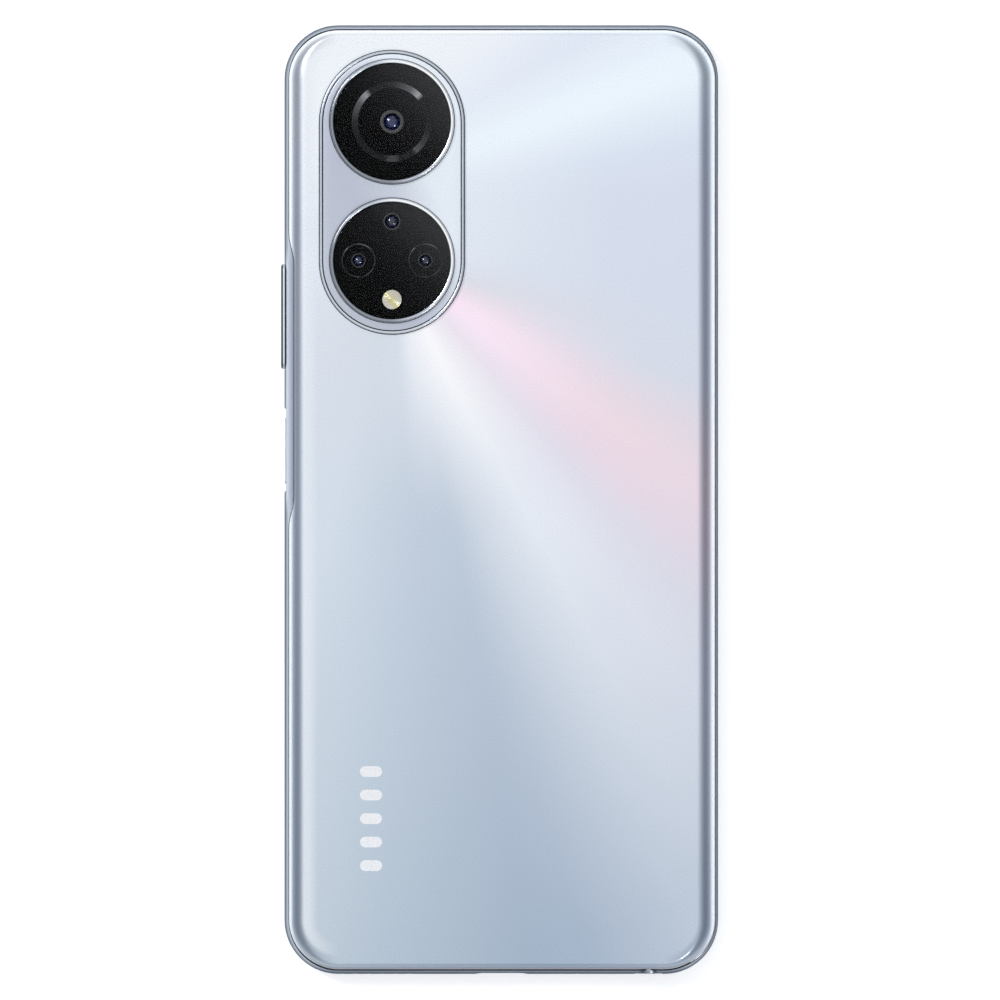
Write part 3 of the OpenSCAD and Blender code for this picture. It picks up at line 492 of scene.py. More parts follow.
# the cut walls take the second slot, the painted shade
for face in cutter.faces:
    face.material_index = 1
wall = carved(wall, cutter)
finish_piece("side_frame_wall", wall, [frame_lacquer, slot_walls_painted_shade], "phone_body",
             ["side_frame"], sharp=30.0)

# ------------------------------------------------------------------ back cover
# The back is a clear-coated polycarbonate sheet, thermoformed so that its long edges curve down.
# A vapour-deposited pearl film under it throws a fan of white, pink and cyan from the cameras.
BACK_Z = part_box("back_cover")[1].z / METRE
COVER_IN = BACK_Z - 0.8
bezel_low, bezel_high = (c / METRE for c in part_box("camera_bezel"))
BEZEL_R = (bezel_high.x - bezel_low.x) / 2
ISLAND_X = (bezel_high.x + bezel_low.x) / 2
UPPER_Y = bezel_high.y - BEZEL_R          # centre of the main window
LOWER_Y = bezel_low.y + BEZEL_R           # centre of the lower window
ISLAND_R = BEZEL_R - 0.14                 # radius of the rim's finished edge
RIM_UPPER = UPPER_Y - 0.2                 # centres of the rim's two round ends
RIM_LOWER = LOWER_Y - 0.2
END_STEPS = 32                # steps round each of the island's two ends
OPENING_R = ISLAND_R + 0.16   # the cover's opening round the island
COVER_LIP_Z = 6.72            # foot of the sheet's turned edge
SIDE_GAP = 0.15               # how far inside the seam the sheet's edge stands
TRAY_GAP = 0.22
END_GAP = 0.3
FAN_POLE = (ISLAND_X, LOWER_Y)
BEAM_POLE = (-42.3, 48.5)
EDGE_SHADE_WIDTH = 5.0              # width of the darker band inside the edge, painted shade standing in for the dark band the curve reflects
HIGHLIGHT_STRIP_WIDTH = 7.0


def half_circle(bm, vert, centre_y):
    """Spins a vertex half way round one of the island's end centres; returns where it stops."""
    made = bmesh.ops.spin(bm, geom=[vert], cent=(ISLAND_X, centre_y, vert.co.z), axis=(0, 0, 1),
                          angle=math.pi, steps=END_STEPS)
    return next(g for g in made["geom_last"] if isinstance(g, bmesh.types.BMVert))


def pill_outline(bm, radius, z):
    """Edges of the island's outline: two half circles and the sides between them."""
    start = bm.verts.new((ISLAND_X + radius, RIM_UPPER, z))
    made = bmesh.ops.extrude_vert_indiv(bm, verts=[half_circle(bm, start, RIM_UPPER)])
    bmesh.ops.translate(bm, vec=(0, RIM_LOWER - RIM_UPPER, 0), verts=made["verts"])
    bm.edges.new((half_circle(bm, made["verts"][0], RIM_LOWER), start))
    corner, edges = start, []
    edge = start.link_edges[0]
    while edge not in edges:
        edges.append(edge)
        corner = edge.other_vert(corner)
        edge = next(e for e in corner.link_edges if e != edge)
    return edges


def pull_edges(bm, edges, move):
    """Extrudes a loop of edges and moves the new ones with move(vertex)."""
    made = bmesh.ops.extrude_edge_only(bm, edges=edges)["geom"]
    for v in (g for g in made if isinstance(g, bmesh.types.BMVert)):
        move(v)
    return [g for g in made if isinstance(g, bmesh.types.BMEdge)]


def island_move(radius, z):
    """A move that sets the radius and height of the island's outline."""
    def move(v):
        centre = Vector((ISLAND_X, min(max(v.co.y, RIM_LOWER), RIM_UPPER), 0))
        away = (Vector((v.co.x, v.co.y, 0)) - centre).normalized()
        v.co = centre + away * radius
        v.co.z = z
    return move


# Pearl film under a clear coat: half mirror, half milk, so its edges pick up the room's dark band.
pearl, tree = blank_finish("pearl_film_under_clear_coat")
place = add(tree, "TexCoord", out=3)
in_mm = add(tree, "VectorMath", {0: place, 1: (1000.0, 1000.0, 1000.0)}, operation="MULTIPLY")


def round_pole(tree, place, pole):
    """Steps along X and Y from a pole, and the angle in turns, anticlockwise from straight left."""
    away = add(tree, "VectorMath", {0: place, 1: (pole[0], pole[1], 0.0)}, operation="SUBTRACT")
    x = add(tree, "SeparateXYZ", {0: away})
    y = add(tree, "SeparateXYZ", {0: away}, out=1)
    angle = add(tree, "Math", {0: y, 1: x}, operation="ARCTAN2")
    return x, y, add(tree, "MapRange", {0: angle, 1: -math.pi, 2: math.pi})


def polar(tree, pole):
    """Angle in turns, and distance in millimetres, round a pole on the back."""
    x, y, turns = round_pole(tree, in_mm, pole)
    flat = add(tree, "CombineXYZ", {0: x, 1: y})
    return turns, add(tree, "VectorMath", {0: flat}, out=1, operation="LENGTH")


def in_turns(degrees):
    """An angle in degrees, 0 to the right, as a part of the turn from straight left."""
    return (degrees + 180) / 360


def by_angle(stops):
    """Colour stops given in degrees, as stops in turns."""
    return [(in_turns(degrees), colour) for degrees, colour in stops]


turns, reach = polar(tree, FAN_POLE)
fan_near = add(tree, "ValToRGB", {0: turns}, stops=by_angle([
    (-180, "dfe5ed"), (-120, "d6dce5"), (-97, "d3dae3"), (-86, "d6dde6"), (-79, "e9ecf2"), (-64, "fbfafb"),
    (-55, "f1ecf2"), (-48, "ede3ed"), (-38, "fbe6f5"), (-31, "fae4f2"), (-24, "ecdfe9"), (-16, "dcdce4"),
    (-5, "d9dee9"), (180, "dfe5ed"),
]))
fan_middle = add(tree, "ValToRGB", {0: turns}, stops=by_angle([
    (-120, "d4dde7"), (-103, "d1dbe6"), (-92, "c4d0dd"), (-84, "bdc9d8"), (-77, "bac7d6"), (-71, "cfd7e2"),
    (-62, "e5eaf1"), (-55, "e4e6ef"), (-49, "dfdce7"), (-43, "ead7e3"), (-36, "efd9e2"), (-30, "e4d8e1"),
    (-22, "d5dae6"), (-5, "d4dae8"), (180, "dae2ea"),
]))
fan_far = add(tree, "ValToRGB", {0: turns}, stops=by_angle([
    (-120, "c2ced9"), (-97, "bdc9d4"), (-91, "b0c0cf"), (-85, "a7b8c8"), (-79, "9eafc3"), (-74, "a1b2c6"),
    (-70, "aebccd"), (-66, "bac6d5"), (-60, "c2cbd9"), (-50, "cdd3e0"), (-30, "d6d3dd"),
]))
to_middle = add(tree, "MapRange", {0: reach, 1: 14.0, 2: 52.0}, interpolation_type="SMOOTHSTEP")
to_far = add(tree, "MapRange", {0: reach, 1: 52.0, 2: 124.0})
fan = add(tree, "Mix", {0: to_middle, 6: fan_near, 7: fan_middle}, out=2, data_type="RGBA")
fan = add(tree, "Mix", {0: to_far, 6: fan, 7: fan_far}, out=2, data_type="RGBA")
upper_turns, upper_reach = polar(tree, BEAM_POLE)
upper = add(tree, "ValToRGB", {0: upper_turns}, stops=by_angle([
    (-8, "d4dae8"), (5, "d5dcea"), (11, "d9e1ee"), (15, "e2ebf5"), (19, "ebf5fb"), (22, "ebf5fc"),
    (26, "e5edf6"), (30, "e0e6f2"), (34, "e4eaf4"), (39, "eeeff5"), (48, "f2f2f6"), (100, "f2f3f5"),
    (140, "e6eaf1"),
]))
near_island = add(tree, "MapRange", {0: upper_reach, 1: 36.0, 2: 62.0, 3: 0.5, 4: 0.0})
upper = add(tree, "Mix", {0: near_island, 6: upper, 7: linear("eaf1f6")}, out=2, data_type="RGBA")
above = add(tree, "MapRange", {0: turns, 1: in_turns(-16), 2: in_turns(4)}, interpolation_type="SMOOTHSTEP")
below = add(tree, "MapRange", {0: turns, 1: in_turns(110), 2: in_turns(178), 3: 1.0, 4: 0.0})
upper_part = add(tree, "Math", {0: above, 1: below}, operation="MULTIPLY")
film = add(tree, "Mix", {0: upper_part, 6: fan, 7: upper}, out=2, data_type="RGBA")
# a darker blue-grey band is painted just inside the edges, as painted shade standing in for the room's dark
# band seen in the curve
from_middle = add(tree, "VectorMath", {0: in_mm}, operation="ABSOLUTE")
past = add(tree, "VectorMath", {0: from_middle, 1: (HALF_W - CORNER, HALF_H - CORNER, 0.0)},
           operation="SUBTRACT")
past = add(tree, "VectorMath", {0: past, 1: (0.0, 0.0, 0.0)}, operation="MAXIMUM")
past = add(tree, "VectorMath", {0: past, 1: (1.0, 1.0, 0.0)}, operation="MULTIPLY")
from_corner = add(tree, "VectorMath", {0: past}, out=1, operation="LENGTH")
edge_mm = add(tree, "Math", {0: CORNER, 1: from_corner}, operation="SUBTRACT")
outward = add(tree, "VectorMath", {0: past}, operation="NORMALIZE")
sideways = add(tree, "SeparateXYZ", {0: outward})
edge_shade = add(tree, "Math", {0: edge_mm, 1: EDGE_SHADE_WIDTH}, operation="DIVIDE")
edge_shade = add(tree, "ValToRGB", {0: edge_shade}, stops=[
    (0.21, "ffffff"), (0.3, "ced2d8"), (0.35, "bbbfc8"), (0.4, "a4a8b3"), (0.5, "a2a6b2"), (0.62, "ccd0d6"),
    (0.74, "ffffff"),
])
edge_shade_part = add(tree, "Math", {0: sideways, 1: 0.8}, operation="MULTIPLY")
film = add(tree, "Mix", {0: edge_shade_part, 6: film, 7: edge_shade}, out=2, data_type="RGBA",
           blend_type="MULTIPLY")
# on the keys' side a paler strip is painted just inside the bend, as a painted highlight
painted_highlight_strip = add(tree, "Math", {0: edge_mm, 1: HIGHLIGHT_STRIP_WIDTH}, operation="DIVIDE")
painted_highlight_strip = add(tree, "ValToRGB", {0: painted_highlight_strip}, stops=[
    (0.42, "000000"), (0.5, "d0d0d0"), (0.62, "d0d0d0"), (0.84, "000000"),
])
east = add(tree, "SeparateXYZ", {0: in_mm})
left_half = add(tree, "Math", {0: east, 1: 0.0}, operation="LESS_THAN")
painted_highlight_strip = add(tree, "Math", {0: painted_highlight_strip, 1: left_half}, operation="MULTIPLY")
painted_highlight_strip = add(tree, "Math", {0: painted_highlight_strip, 1: sideways}, operation="MULTIPLY")
film = add(tree, "Mix", {0: painted_highlight_strip, 6: film, 7: linear("e6eaef")}, out=2, data_type="RGBA")
# along the lower end a darker lavender band is painted inside the edge, as painted shade, and near the very
# edge of the sheet, elsewhere, a white band is painted as a highlight
lower_edge_shade = add(tree, "Math", {0: edge_mm, 1: EDGE_SHADE_WIDTH}, operation="DIVIDE")
lower_edge_shade = add(tree, "ValToRGB", {0: lower_edge_shade}, stops=[
    (0.14, "70727e"), (0.2, "80828e"), (0.237, "a2a5b0"), (0.272, "cbced5"), (0.3, "ffffff"),
])
lengthways = add(tree, "SeparateXYZ", {0: outward}, out=1)
north = add(tree, "SeparateXYZ", {0: in_mm}, out=1)
below = add(tree, "Math", {0: north, 1: 0.0}, operation="LESS_THAN")
lower_end_shade_part = add(tree, "Math", {0: lengthways, 1: below}, operation="MULTIPLY")
film = add(tree, "Mix", {0: lower_end_shade_part, 6: film, 7: lower_edge_shade}, out=2, data_type="RGBA",
           blend_type="MULTIPLY")
painted_edge_highlight = add(tree, "MapRange", {0: edge_mm, 1: 1.0, 2: 1.45, 3: 0.8, 4: 0.0})
not_low = add(tree, "Math", {0: 1.0, 1: lower_end_shade_part}, operation="SUBTRACT")
painted_edge_highlight = add(tree, "Math", {0: painted_edge_highlight, 1: not_low}, operation="MULTIPLY")
film = add(tree, "Mix", {0: painted_edge_highlight, 6: film, 7: linear("f0f8ff")}, out=2, data_type="RGBA")
flakes = add(tree, "TexNoise", {"Vector": in_mm, "Scale": 6.0, "Detail": 4.0, "Roughness": 0.7})
pearl_rough = add(tree, "MapRange", {0: flakes, 1: 0.3, 2: 0.7, 3: 0.26, 4: 0.31})
shader = add(tree, "BsdfPrincipled", {
    "Base Color": film, "Roughness": pearl_rough, "Metallic": 0.35,
    "Coat Weight": 1.0, "Coat Roughness": 0.03, "Coat IOR": 1.5,
})
add(tree, "OutputMaterial", {0: shader})


def cover_foot(x, y):
    """The inner corner of the sheet's edge."""
    return seam_rim(x, y) + 0.45, end_rim(y) + 0.5, cover_at(x, y, 0)[2] + 0.02


def cover_edge(x, y):
    """The outer corner of the sheet's edge, a little inside the seam."""
    gap = TRAY_GAP if x > 0 else SIDE_GAP
    return seam_rim(x, y) + gap, end_rim(y) + END_GAP, cover_at(x, y, 0)[2] + 0.04


cover = bmesh.new()
rings = [fixed(WALL_INSET + 0.3, COVER_LIP_Z), cover_foot, cover_edge]
rings += [lambda x, y, t=i / 20: cover_at(x, y, t) for i in range(5, 21)]
rings += [fixed(BACK_REACH + 0.5, BACK_Z, END_REACH + 0.5)]
under, top = stacked(cover, rings, SIDE_STEPS)
hole = pill_outline(cover, OPENING_R, BACK_Z)
bmesh.ops.triangle_fill(cover, use_beauty=True, edges=top + hole)
hole = pull_edges(cover, hole, island_move(OPENING_R - 0.04, BACK_Z - 0.06))
hole = pull_edges(cover, hole, island_move(OPENING_R - 0.04, COVER_IN))
inner = pull_edges(cover, under, lambda v: setattr(v.co, "z", COVER_IN))
bmesh.ops.triangle_fill(cover, use_beauty=True, edges=inner + hole)
finish_piece("back_cover_sheet", cover, [pearl], "phone_body", ["back_cover"], sharp=40.0)

# ------------------------------------------------------------------ seam tape
# Black foam tape sticks the cover to the ledge of the frame. It shows as the thin dark line
# between the rim and the cover.
def grained(name, light, dark, grain_mm, roughness, metallic=0.0, coat=0.0, bump=0.1, stretch=(1, 1, 1)):
    """A finish of two tones with a grain in millimetres, stretched where it is brushed or drawn."""
    made, tree = blank_finish(name)
    place = add(tree, "TexCoord", out=3)
    place = add(tree, "Mapping", {"Vector": place, "Scale": stretch})
    fine = add(tree, "TexNoise", {"Vector": place, "Scale": 1 / (grain_mm * METRE), "Detail": 4.0})
    broad = add(tree, "TexNoise", {"Vector": place, "Scale": 0.12 / (grain_mm * METRE), "Detail": 2.0})
    mixed = add(tree, "Math", {0: fine, 1: broad}, operation="MULTIPLY")
    tone = add(tree, "ValToRGB", {0: mixed}, stops=[(0.1, dark), (0.42, light)])
    rough = add(tree, "MapRange", {
        0: fine, 1: 0.3, 2: 0.7, 3: roughness * 0.85, 4: min(roughness * 1.2, 1.0),
    })
    relief = add(tree, "Bump", {"Strength": bump, "Distance": grain_mm * METRE * 0.2, "Height": fine})
    shader = add(tree, "BsdfPrincipled", {
        "Base Color": tone, "Roughness": rough, "Metallic": metallic, "Normal": relief,
        "Coat Weight": coat,
    })
    add(tree, "OutputMaterial", {0: shader})
    return made


foam_tape = grained("black_foam_tape", "1c1e22", "0c0d0f", 0.08, 0.95, bump=0.5)
tape = bmesh.new()


def tape_ring(outer, drop):
    """A ring of the tape, inside the seam by an amount and below it by another."""
    return lambda x, y: (seam_rim(x, y) + outer, end_rim(y) + outer, cover_at(x, y, 0)[2] - drop)


first, last = stacked(tape, [
    tape_ring(0.05, 0.015), tape_ring(0.44, -0.01), tape_ring(0.44, 0.12), tape_ring(0.05, 0.14),
], SIDE_STEPS)
bmesh.ops.bridge_loops(tape, edges=first + last)
finish_piece("seam_tape", tape, [foam_tape], "phone_body", ["back_cover_adhesive"])

# ------------------------------------------------------------------ camera island
# The camera island is a die-cast rim round a lacquered plate, glued into the cover's opening.
# The plate holds two turned and polished rings.
ISLAND_TOP = 9.3
ISLAND_FOOT = 8.2
RIM_FOOT = 7.9
PLATE_R = 12.16               # the plate meets the inside of the rim
RING_SEAT = 8.5
RING_OUT = 10.98
RING_TOP = 10.2
LENS_R = 10.36
RING_STEPS = 128


def edges_at(verts):
    """Every edge that ends at some vertices, once each."""
    return list(dict.fromkeys(e for v in verts for e in v.link_edges))


def island_loft(bm, profile):
    """A skin round the island through pairs of radius and height; returns its first and last edges."""
    first = edges = pill_outline(bm, *profile[0])
    for radius, z in profile[1:]:
        edges = pull_edges(bm, edges, island_move(radius, z))
    return first, edges


def turned(bm, profile, centre, closed=True, steps=RING_STEPS):
    """Spins pairs of radius and height about an upright axis; a closed profile makes a ring."""
    verts = [bm.verts.new((centre[0] + r, centre[1], z)) for r, z in profile]
    edges = [bm.edges.new(pair) for pair in zip(verts, verts[1:])]
    if closed:
        edges.append(bm.edges.new((verts[-1], verts[0])))
    bmesh.ops.spin(bm, geom=verts + edges, cent=(*centre, 0), axis=(0, 0, 1), angle=2 * math.pi,
                   steps=steps, use_merge=True)
    bmesh.ops.remove_doubles(bm, verts=bm.verts, dist=0.0005)


def graded(name, centre, direction, reach, stops, grain_mm, roughness, metallic, coat=0.0, gloss=0.5):
    """A finish whose tone runs across the piece, from one side of its centre to the other."""
    made, tree = blank_finish(name)
    place = add(tree, "TexCoord", out=3)
    away = add(tree, "VectorMath", {0: place, 1: (centre[0] * METRE, centre[1] * METRE, 0.0)},
               operation="SUBTRACT")
    across = add(tree, "VectorMath", {0: away, 1: (*direction, 0.0)}, out=1, operation="DOT_PRODUCT")
    across = add(tree, "MapRange", {0: across, 1: -reach * METRE, 2: reach * METRE})
    grain = add(tree, "TexNoise", {"Vector": place, "Scale": 1 / (grain_mm * METRE), "Detail": 3.0})
    wobble = add(tree, "MapRange", {0: grain, 1: 0.0, 2: 1.0, 3: -0.03, 4: 0.03})
    across = add(tree, "Math", {0: across, 1: wobble}, operation="ADD")
    tone = add(tree, "ValToRGB", {0: across}, stops=stops)
    rough = add(tree, "MapRange", {0: grain, 1: 0.3, 2: 0.7, 3: roughness * 0.8, 4: roughness * 1.25})
    relief = add(tree, "Bump", {"Strength": 0.05, "Distance": 0.01 * METRE, "Height": grain})
    shader = add(tree, "BsdfPrincipled", {
        "Base Color": tone, "Roughness": rough, "Metallic": metallic, "Normal": relief,
        "Coat Weight": coat, "Coat Roughness": 0.05, "Specular IOR Level": gloss,
    })
    add(tree, "OutputMaterial", {0: shader})
    return made


island_middle = (ISLAND_X, (UPPER_Y + LOWER_Y) / 2)
# painted reflection: the rim's tone is lightest towards the lower end and darkest across the middle
rim_metal_painted_sheen = graded("polished_die_cast_rim", island_middle, (0.45, 0.9), 26, [
    (0.0, "ccd2d9"), (0.5, "b8bec7"), (1.0, "c0c6ce"),
], 0.2, 0.22, 0.8)
plate_lacquer = graded("lacquered_island_plate", island_middle, (0.92, 0.4), 16, [
    (0.0, "b9bfcb"), (0.3, "b6bbcb"), (0.52, "c6ccd8"), (0.72, "e3eaf2"), (1.0, "e6edf5"),
], 0.15, 0.3, 0.3, coat=1.0)

rim = bmesh.new()
first, last = island_loft(rim, [
    (ISLAND_R, RIM_FOOT), (ISLAND_R, 9.24), (ISLAND_R - 0.04, 9.33), (ISLAND_R - 0.12, 9.38),
    (ISLAND_R - 0.36, 9.38), (ISLAND_R - 0.43, 9.35), (ISLAND_R - 0.46, 9.28), (ISLAND_R - 0.46, RIM_FOOT),
])
bmesh.ops.bridge_loops(rim, edges=first + last)
finish_piece("camera_island_rim", rim, [rim_metal_painted_sheen], "phone_body", ["camera_bezel"])

plate = bmesh.new()
foot, crown = island_loft(plate, [
    (PLATE_R, ISLAND_FOOT), (PLATE_R, 9.18), (PLATE_R - 0.05, 9.27), (PLATE_R - 0.16, ISLAND_TOP),
])
bores = []
for centre_y in (UPPER_Y, LOWER_Y):
    at = Matrix.Translation((ISLAND_X, centre_y, ISLAND_TOP))
    ring = bmesh.ops.create_circle(plate, segments=RING_STEPS, radius=RING_OUT + 0.16, matrix=at)
    bores += edges_at(ring["verts"])
bmesh.ops.triangle_fill(plate, use_beauty=True, edges=crown + bores)
bores = pull_edges(plate, bores, lambda v: setattr(v.co, "z", ISLAND_TOP - 0.08))
bores = pull_edges(plate, bores, lambda v: setattr(v.co, "z", ISLAND_FOOT))
bmesh.ops.triangle_fill(plate, use_beauty=True, edges=foot + bores)
finish_piece("camera_island_plate", plate, [plate_lacquer], "phone_body", ["camera_plate"])

gasket = bmesh.new()
first, last = island_loft(gasket, [
    (PLATE_R - 0.6, 7.95), (ISLAND_R + 0.7, 7.95), (ISLAND_R + 0.7, 8.1), (PLATE_R - 0.6, 8.1),
])
bmesh.ops.bridge_loops(gasket, edges=first + last)
finish_piece("camera_island_gasket", gasket, [foam_tape], "phone_body")

for label, centre_y in (("main", UPPER_Y), ("aux", LOWER_Y)):
    centre = (ISLAND_X, centre_y)
    # painted highlight and shade: each ring is painted dark towards the lower left and white towards the
    # upper right
    polished = graded(label + "_ring_polished_aluminium", centre, (0.87, 0.5), RING_OUT, [
        (0.0, "8e949c"), (0.25, "8a9098"), (0.38, "bac0cb"), (0.6, "bec5cd"), (0.74, "eef2f6"),
        (1.0, "ffffff"),
    ], 0.1, 0.14, 0.75)
    ring = bmesh.new()
    turned(ring, [
        (LENS_R + 0.03, RING_SEAT), (RING_OUT, RING_SEAT), (RING_OUT, 9.86), (RING_OUT - 0.04, 10.02),
        (RING_OUT - 0.12, 10.14), (RING_OUT - 0.24, RING_TOP), (LENS_R + 0.14, RING_TOP),
        (LENS_R + 0.05, 10.15), (LENS_R + 0.03, 10.06),
    ], centre)
    finish_piece(label + "_ring", ring, [polished], "phone_body", [label + "_lens_ring"])

# ------------------------------------------------------------------ lens windows
# Each window is a disc of hard glass with an anti-reflective coating. Behind it lie a black printed mask
# with its apertures, painted lighter towards the upper right as a painted reflection, and thin rings with
# painted highlights in arcs.
GLASS_LOW = 9.56
GLASS_TOP = 10.05
MASK_TOP = 9.46
AUX_STEP = 6.9                # camera and flash above and below the lower window's centre
AUX_SIDE = 5.9                # cameras to its left and right

MAIN_CENTRE = (ISLAND_X, UPPER_Y)
AUX_CENTRE = (ISLAND_X, LOWER_Y)
WIDE_CENTRE = (ISLAND_X, LOWER_Y + AUX_STEP)
SIDE_CENTRES = ((ISLAND_X - AUX_SIDE, LOWER_Y), (ISLAND_X + AUX_SIDE, LOWER_Y))
FLASH_CENTRE = (ISLAND_X, LOWER_Y - AUX_STEP)


def clear_glass(name, tint, smears_per_mm, detail, spread, haze, bend):
    """Glass that is clear face on and mirrors at a glance, with faint smears in its gloss."""
    made, tree = blank_finish(name)
    place = add(tree, "TexCoord", out=3)
    smear = add(tree, "TexNoise", {"Vector": place, "Scale": smears_per_mm / METRE, "Detail": detail})
    smear_rough = add(tree, "MapRange", {
        0: smear, 1: 0.5 - spread, 2: 0.5 + spread, 3: haze[0], 4: haze[1],
    })
    clear = add(tree, "BsdfTransparent", {0: linear(tint)})
    gloss = add(tree, "BsdfGlossy", {"Color": linear("ffffff"), "Roughness": smear_rough})
    facing = add(tree, "Fresnel", {0: bend})
    surface = add(tree, "MixShader", {0: facing, 1: clear, 2: gloss})
    add(tree, "OutputMaterial", {0: surface})
    return made


# the coating takes most of the mirror image away, so the glass bends light as if it were 1.1
window_glass = clear_glass("coated_window_glass", "f6f7f8", 0.18, 3.0, 0.2, (0.0, 0.03), 1.1)


def arc_highlight_ring(name, centre, stops):
    """A dark ring on the mask with painted highlights, bright only at some angles round its centre, given
    in degrees.
    """
    made, tree = blank_finish(name)
    place = add(tree, "TexCoord", out=3)
    turns = round_pole(tree, place, (centre[0] * METRE, centre[1] * METRE))[2]
    tone = add(tree, "ValToRGB", {0: turns}, stops=by_angle(stops))
    lines = add(tree, "TexNoise", {"Vector": place, "Scale": 4 / METRE})
    rough = add(tree, "MapRange", {0: lines, 1: 0.3, 2: 0.7, 3: 0.35, 4: 0.55})
    shader = add(tree, "BsdfPrincipled", {
        "Base Color": tone, "Roughness": rough, "Specular IOR Level": 0.1,
    })
    add(tree, "OutputMaterial", {0: shader})
    return made


def thicken(bm, rise):
    """Gives a flat sheet its thickness, up or down."""
    made = bmesh.ops.extrude_face_region(bm, geom=bm.faces[:], use_keep_orig=True)["geom"]
    far = [g for g in made if isinstance(g, bmesh.types.BMVert)]
    bmesh.ops.translate(bm, vec=(0, 0, rise), verts=far)


def pierced(bm, centre, radius, holes, top, thickness, steps=RING_STEPS):
    """A disc with round holes, each hole given as its offset and radius."""
    rims = []
    for x, y, r in [(0, 0, radius)] + holes:
        at = Matrix.Translation((centre[0] + x, centre[1] + y, top))
        verts = bmesh.ops.create_circle(bm, segments=steps, radius=r, matrix=at)["verts"]
        rims += edges_at(verts)
    bmesh.ops.triangle_fill(bm, use_beauty=True, edges=rims)
    thicken(bm, -thickness)


main_holes = [(0, 0, 1.45)]
aux_holes = [(0, AUX_STEP, 1.2), (-AUX_SIDE, 0, 1.0), (AUX_SIDE, 0, 1.0), (0, -AUX_STEP, 1.75)]
for label, centre, holes in (("main", MAIN_CENTRE, main_holes), ("aux", AUX_CENTRE, aux_holes)):
    window = bmesh.new()
    turned(window, [
        (0, GLASS_LOW), (LENS_R - 0.02, GLASS_LOW), (LENS_R - 0.02, GLASS_TOP - 0.14),
        (LENS_R - 0.06, GLASS_TOP - 0.05), (LENS_R - 0.16, GLASS_TOP), (0, GLASS_TOP),
    ], centre, closed=False)
    finish_piece(label + "_window", window, [window_glass], "phone_body",
                 [label + "_lens_glass"])
    # painted reflection: the black print grows lighter towards the upper right
    mask_print_painted_sheen = graded(label + "_mask_black_print", centre, (0.75, 0.66), LENS_R, [
        (0.0, "030404"), (0.35, "0a0b0b"), (0.6, "1d1d1e"), (0.85, "343434"), (1.0, "3e3e3e"),
    ], 0.3, 0.7, 0.0, gloss=0.05)
    mask = bmesh.new()
    pierced(mask, centre, LENS_R - 0.04, holes, MASK_TOP, 0.2)
    finish_piece(label + "_mask", mask, [mask_print_painted_sheen], "phone_body", [label + "_lens_mask"])

# painted highlights: the bright arcs stand in for lamps reflected in a turned ring
ring_arc_highlights = arc_highlight_ring("main_ring_painted_arc_highlights", MAIN_CENTRE, [
    (-180, "2c2d2e"), (-160, "1b1c1d"), (-102, "1a1b1c"), (-93, "4c4d4e"), (-84, "4c4d4e"),
    (-78, "1e1f20"), (-56, "202122"), (-50, "5c5d5e"), (-32, "3e3f40"), (-12, "2a2b2c"), (0, "28292a"),
    (38, "2c2c2d"), (45, "b4b4b4"), (60, "6a6a6b"), (88, "363637"), (100, "2a2a2b"), (126, "262627"),
    (134, "a8a8a8"), (150, "626263"), (180, "2c2d2e"),
])
RING_FOOT = MASK_TOP - 0.02
RING_FACE = MASK_TOP + 0.03
trim = bmesh.new()
turned(trim, [
    (6.0, RING_FOOT), (7.1, RING_FOOT), (7.1, RING_FACE - 0.01), (7.04, RING_FACE), (6.06, RING_FACE),
    (6.0, RING_FACE - 0.01),
], MAIN_CENTRE)
finish_piece("main_trim_ring", trim, [ring_arc_highlights], "phone_body")
for label, centre in zip(("left", "right"), SIDE_CENTRES):
    # the same painted arc highlights, fainter
    faint_arc_highlights = arc_highlight_ring(label + "_ring_painted_arc_highlights", centre, [
        (-180, "343536"), (-110, "2a2b2c"), (-93, "4c4d4e"), (-80, "2a2b2c"), (-45, "505152"),
        (-25, "363738"), (40, "38393a"), (60, "6a6b6c"), (85, "5a5b5c"), (100, "363738"),
        (126, "38393a"), (135, "7c7c7d"), (150, "48494a"), (180, "343536"),
    ])
    trim = bmesh.new()
    turned(trim, [(2.8, RING_FOOT), (3.0, RING_FOOT), (3.0, RING_FACE), (2.8, RING_FACE)], centre, steps=96)
    finish_piece(label + "_trim_ring", trim, [faint_arc_highlights], "phone_body")

# ------------------------------------------------------------------ lenses
# The front elements of the four cameras are domed and blue-coated, each in a moulded black rim.
# The main one rides on its focusing barrel.
lens_coating = graded("blue_coated_lens", MAIN_CENTRE, (0.6, 0.8), 1.6, [
    (0.0, "0a1540"), (0.5, "10205a"), (1.0, "05060c"),
], 0.5, 0.04, 0.0, coat=1.0)
small_coating = graded("violet_coated_lens", AUX_CENTRE, (0.6, 0.8), 9.0, [
    (0.0, "16204a"), (0.5, "0d1230"), (1.0, "141a38"),
], 0.5, 0.05, 0.0, coat=1.0)
lens_rim = grained("anodised_lens_rim", "544f4f", "3c3939", 0.05, 0.45, bump=0.2)


def front_element(bm, centre, radius, foot, top, rise):
    """A lens: a short round wall and a dome whose highest point is at top."""
    dome = [(radius * part, top - rise * part ** 2) for part in (1 - i / 10 for i in range(11))]
    wall = [(0, foot), (radius * 0.85, foot), (radius, foot + 0.15)]
    turned(bm, wall + dome, centre, closed=False, steps=64)


def lens_collar(bm, centre, inner, outer):
    """A raised rim round an aperture, rounded on top."""
    turned(bm, [
        (inner, MASK_TOP - 0.3), (outer, RING_FOOT), (outer, RING_FACE), (outer - 0.08, RING_FACE + 0.03),
        (inner + 0.12, RING_FACE + 0.02), (inner, RING_FOOT),
    ], centre, steps=96)


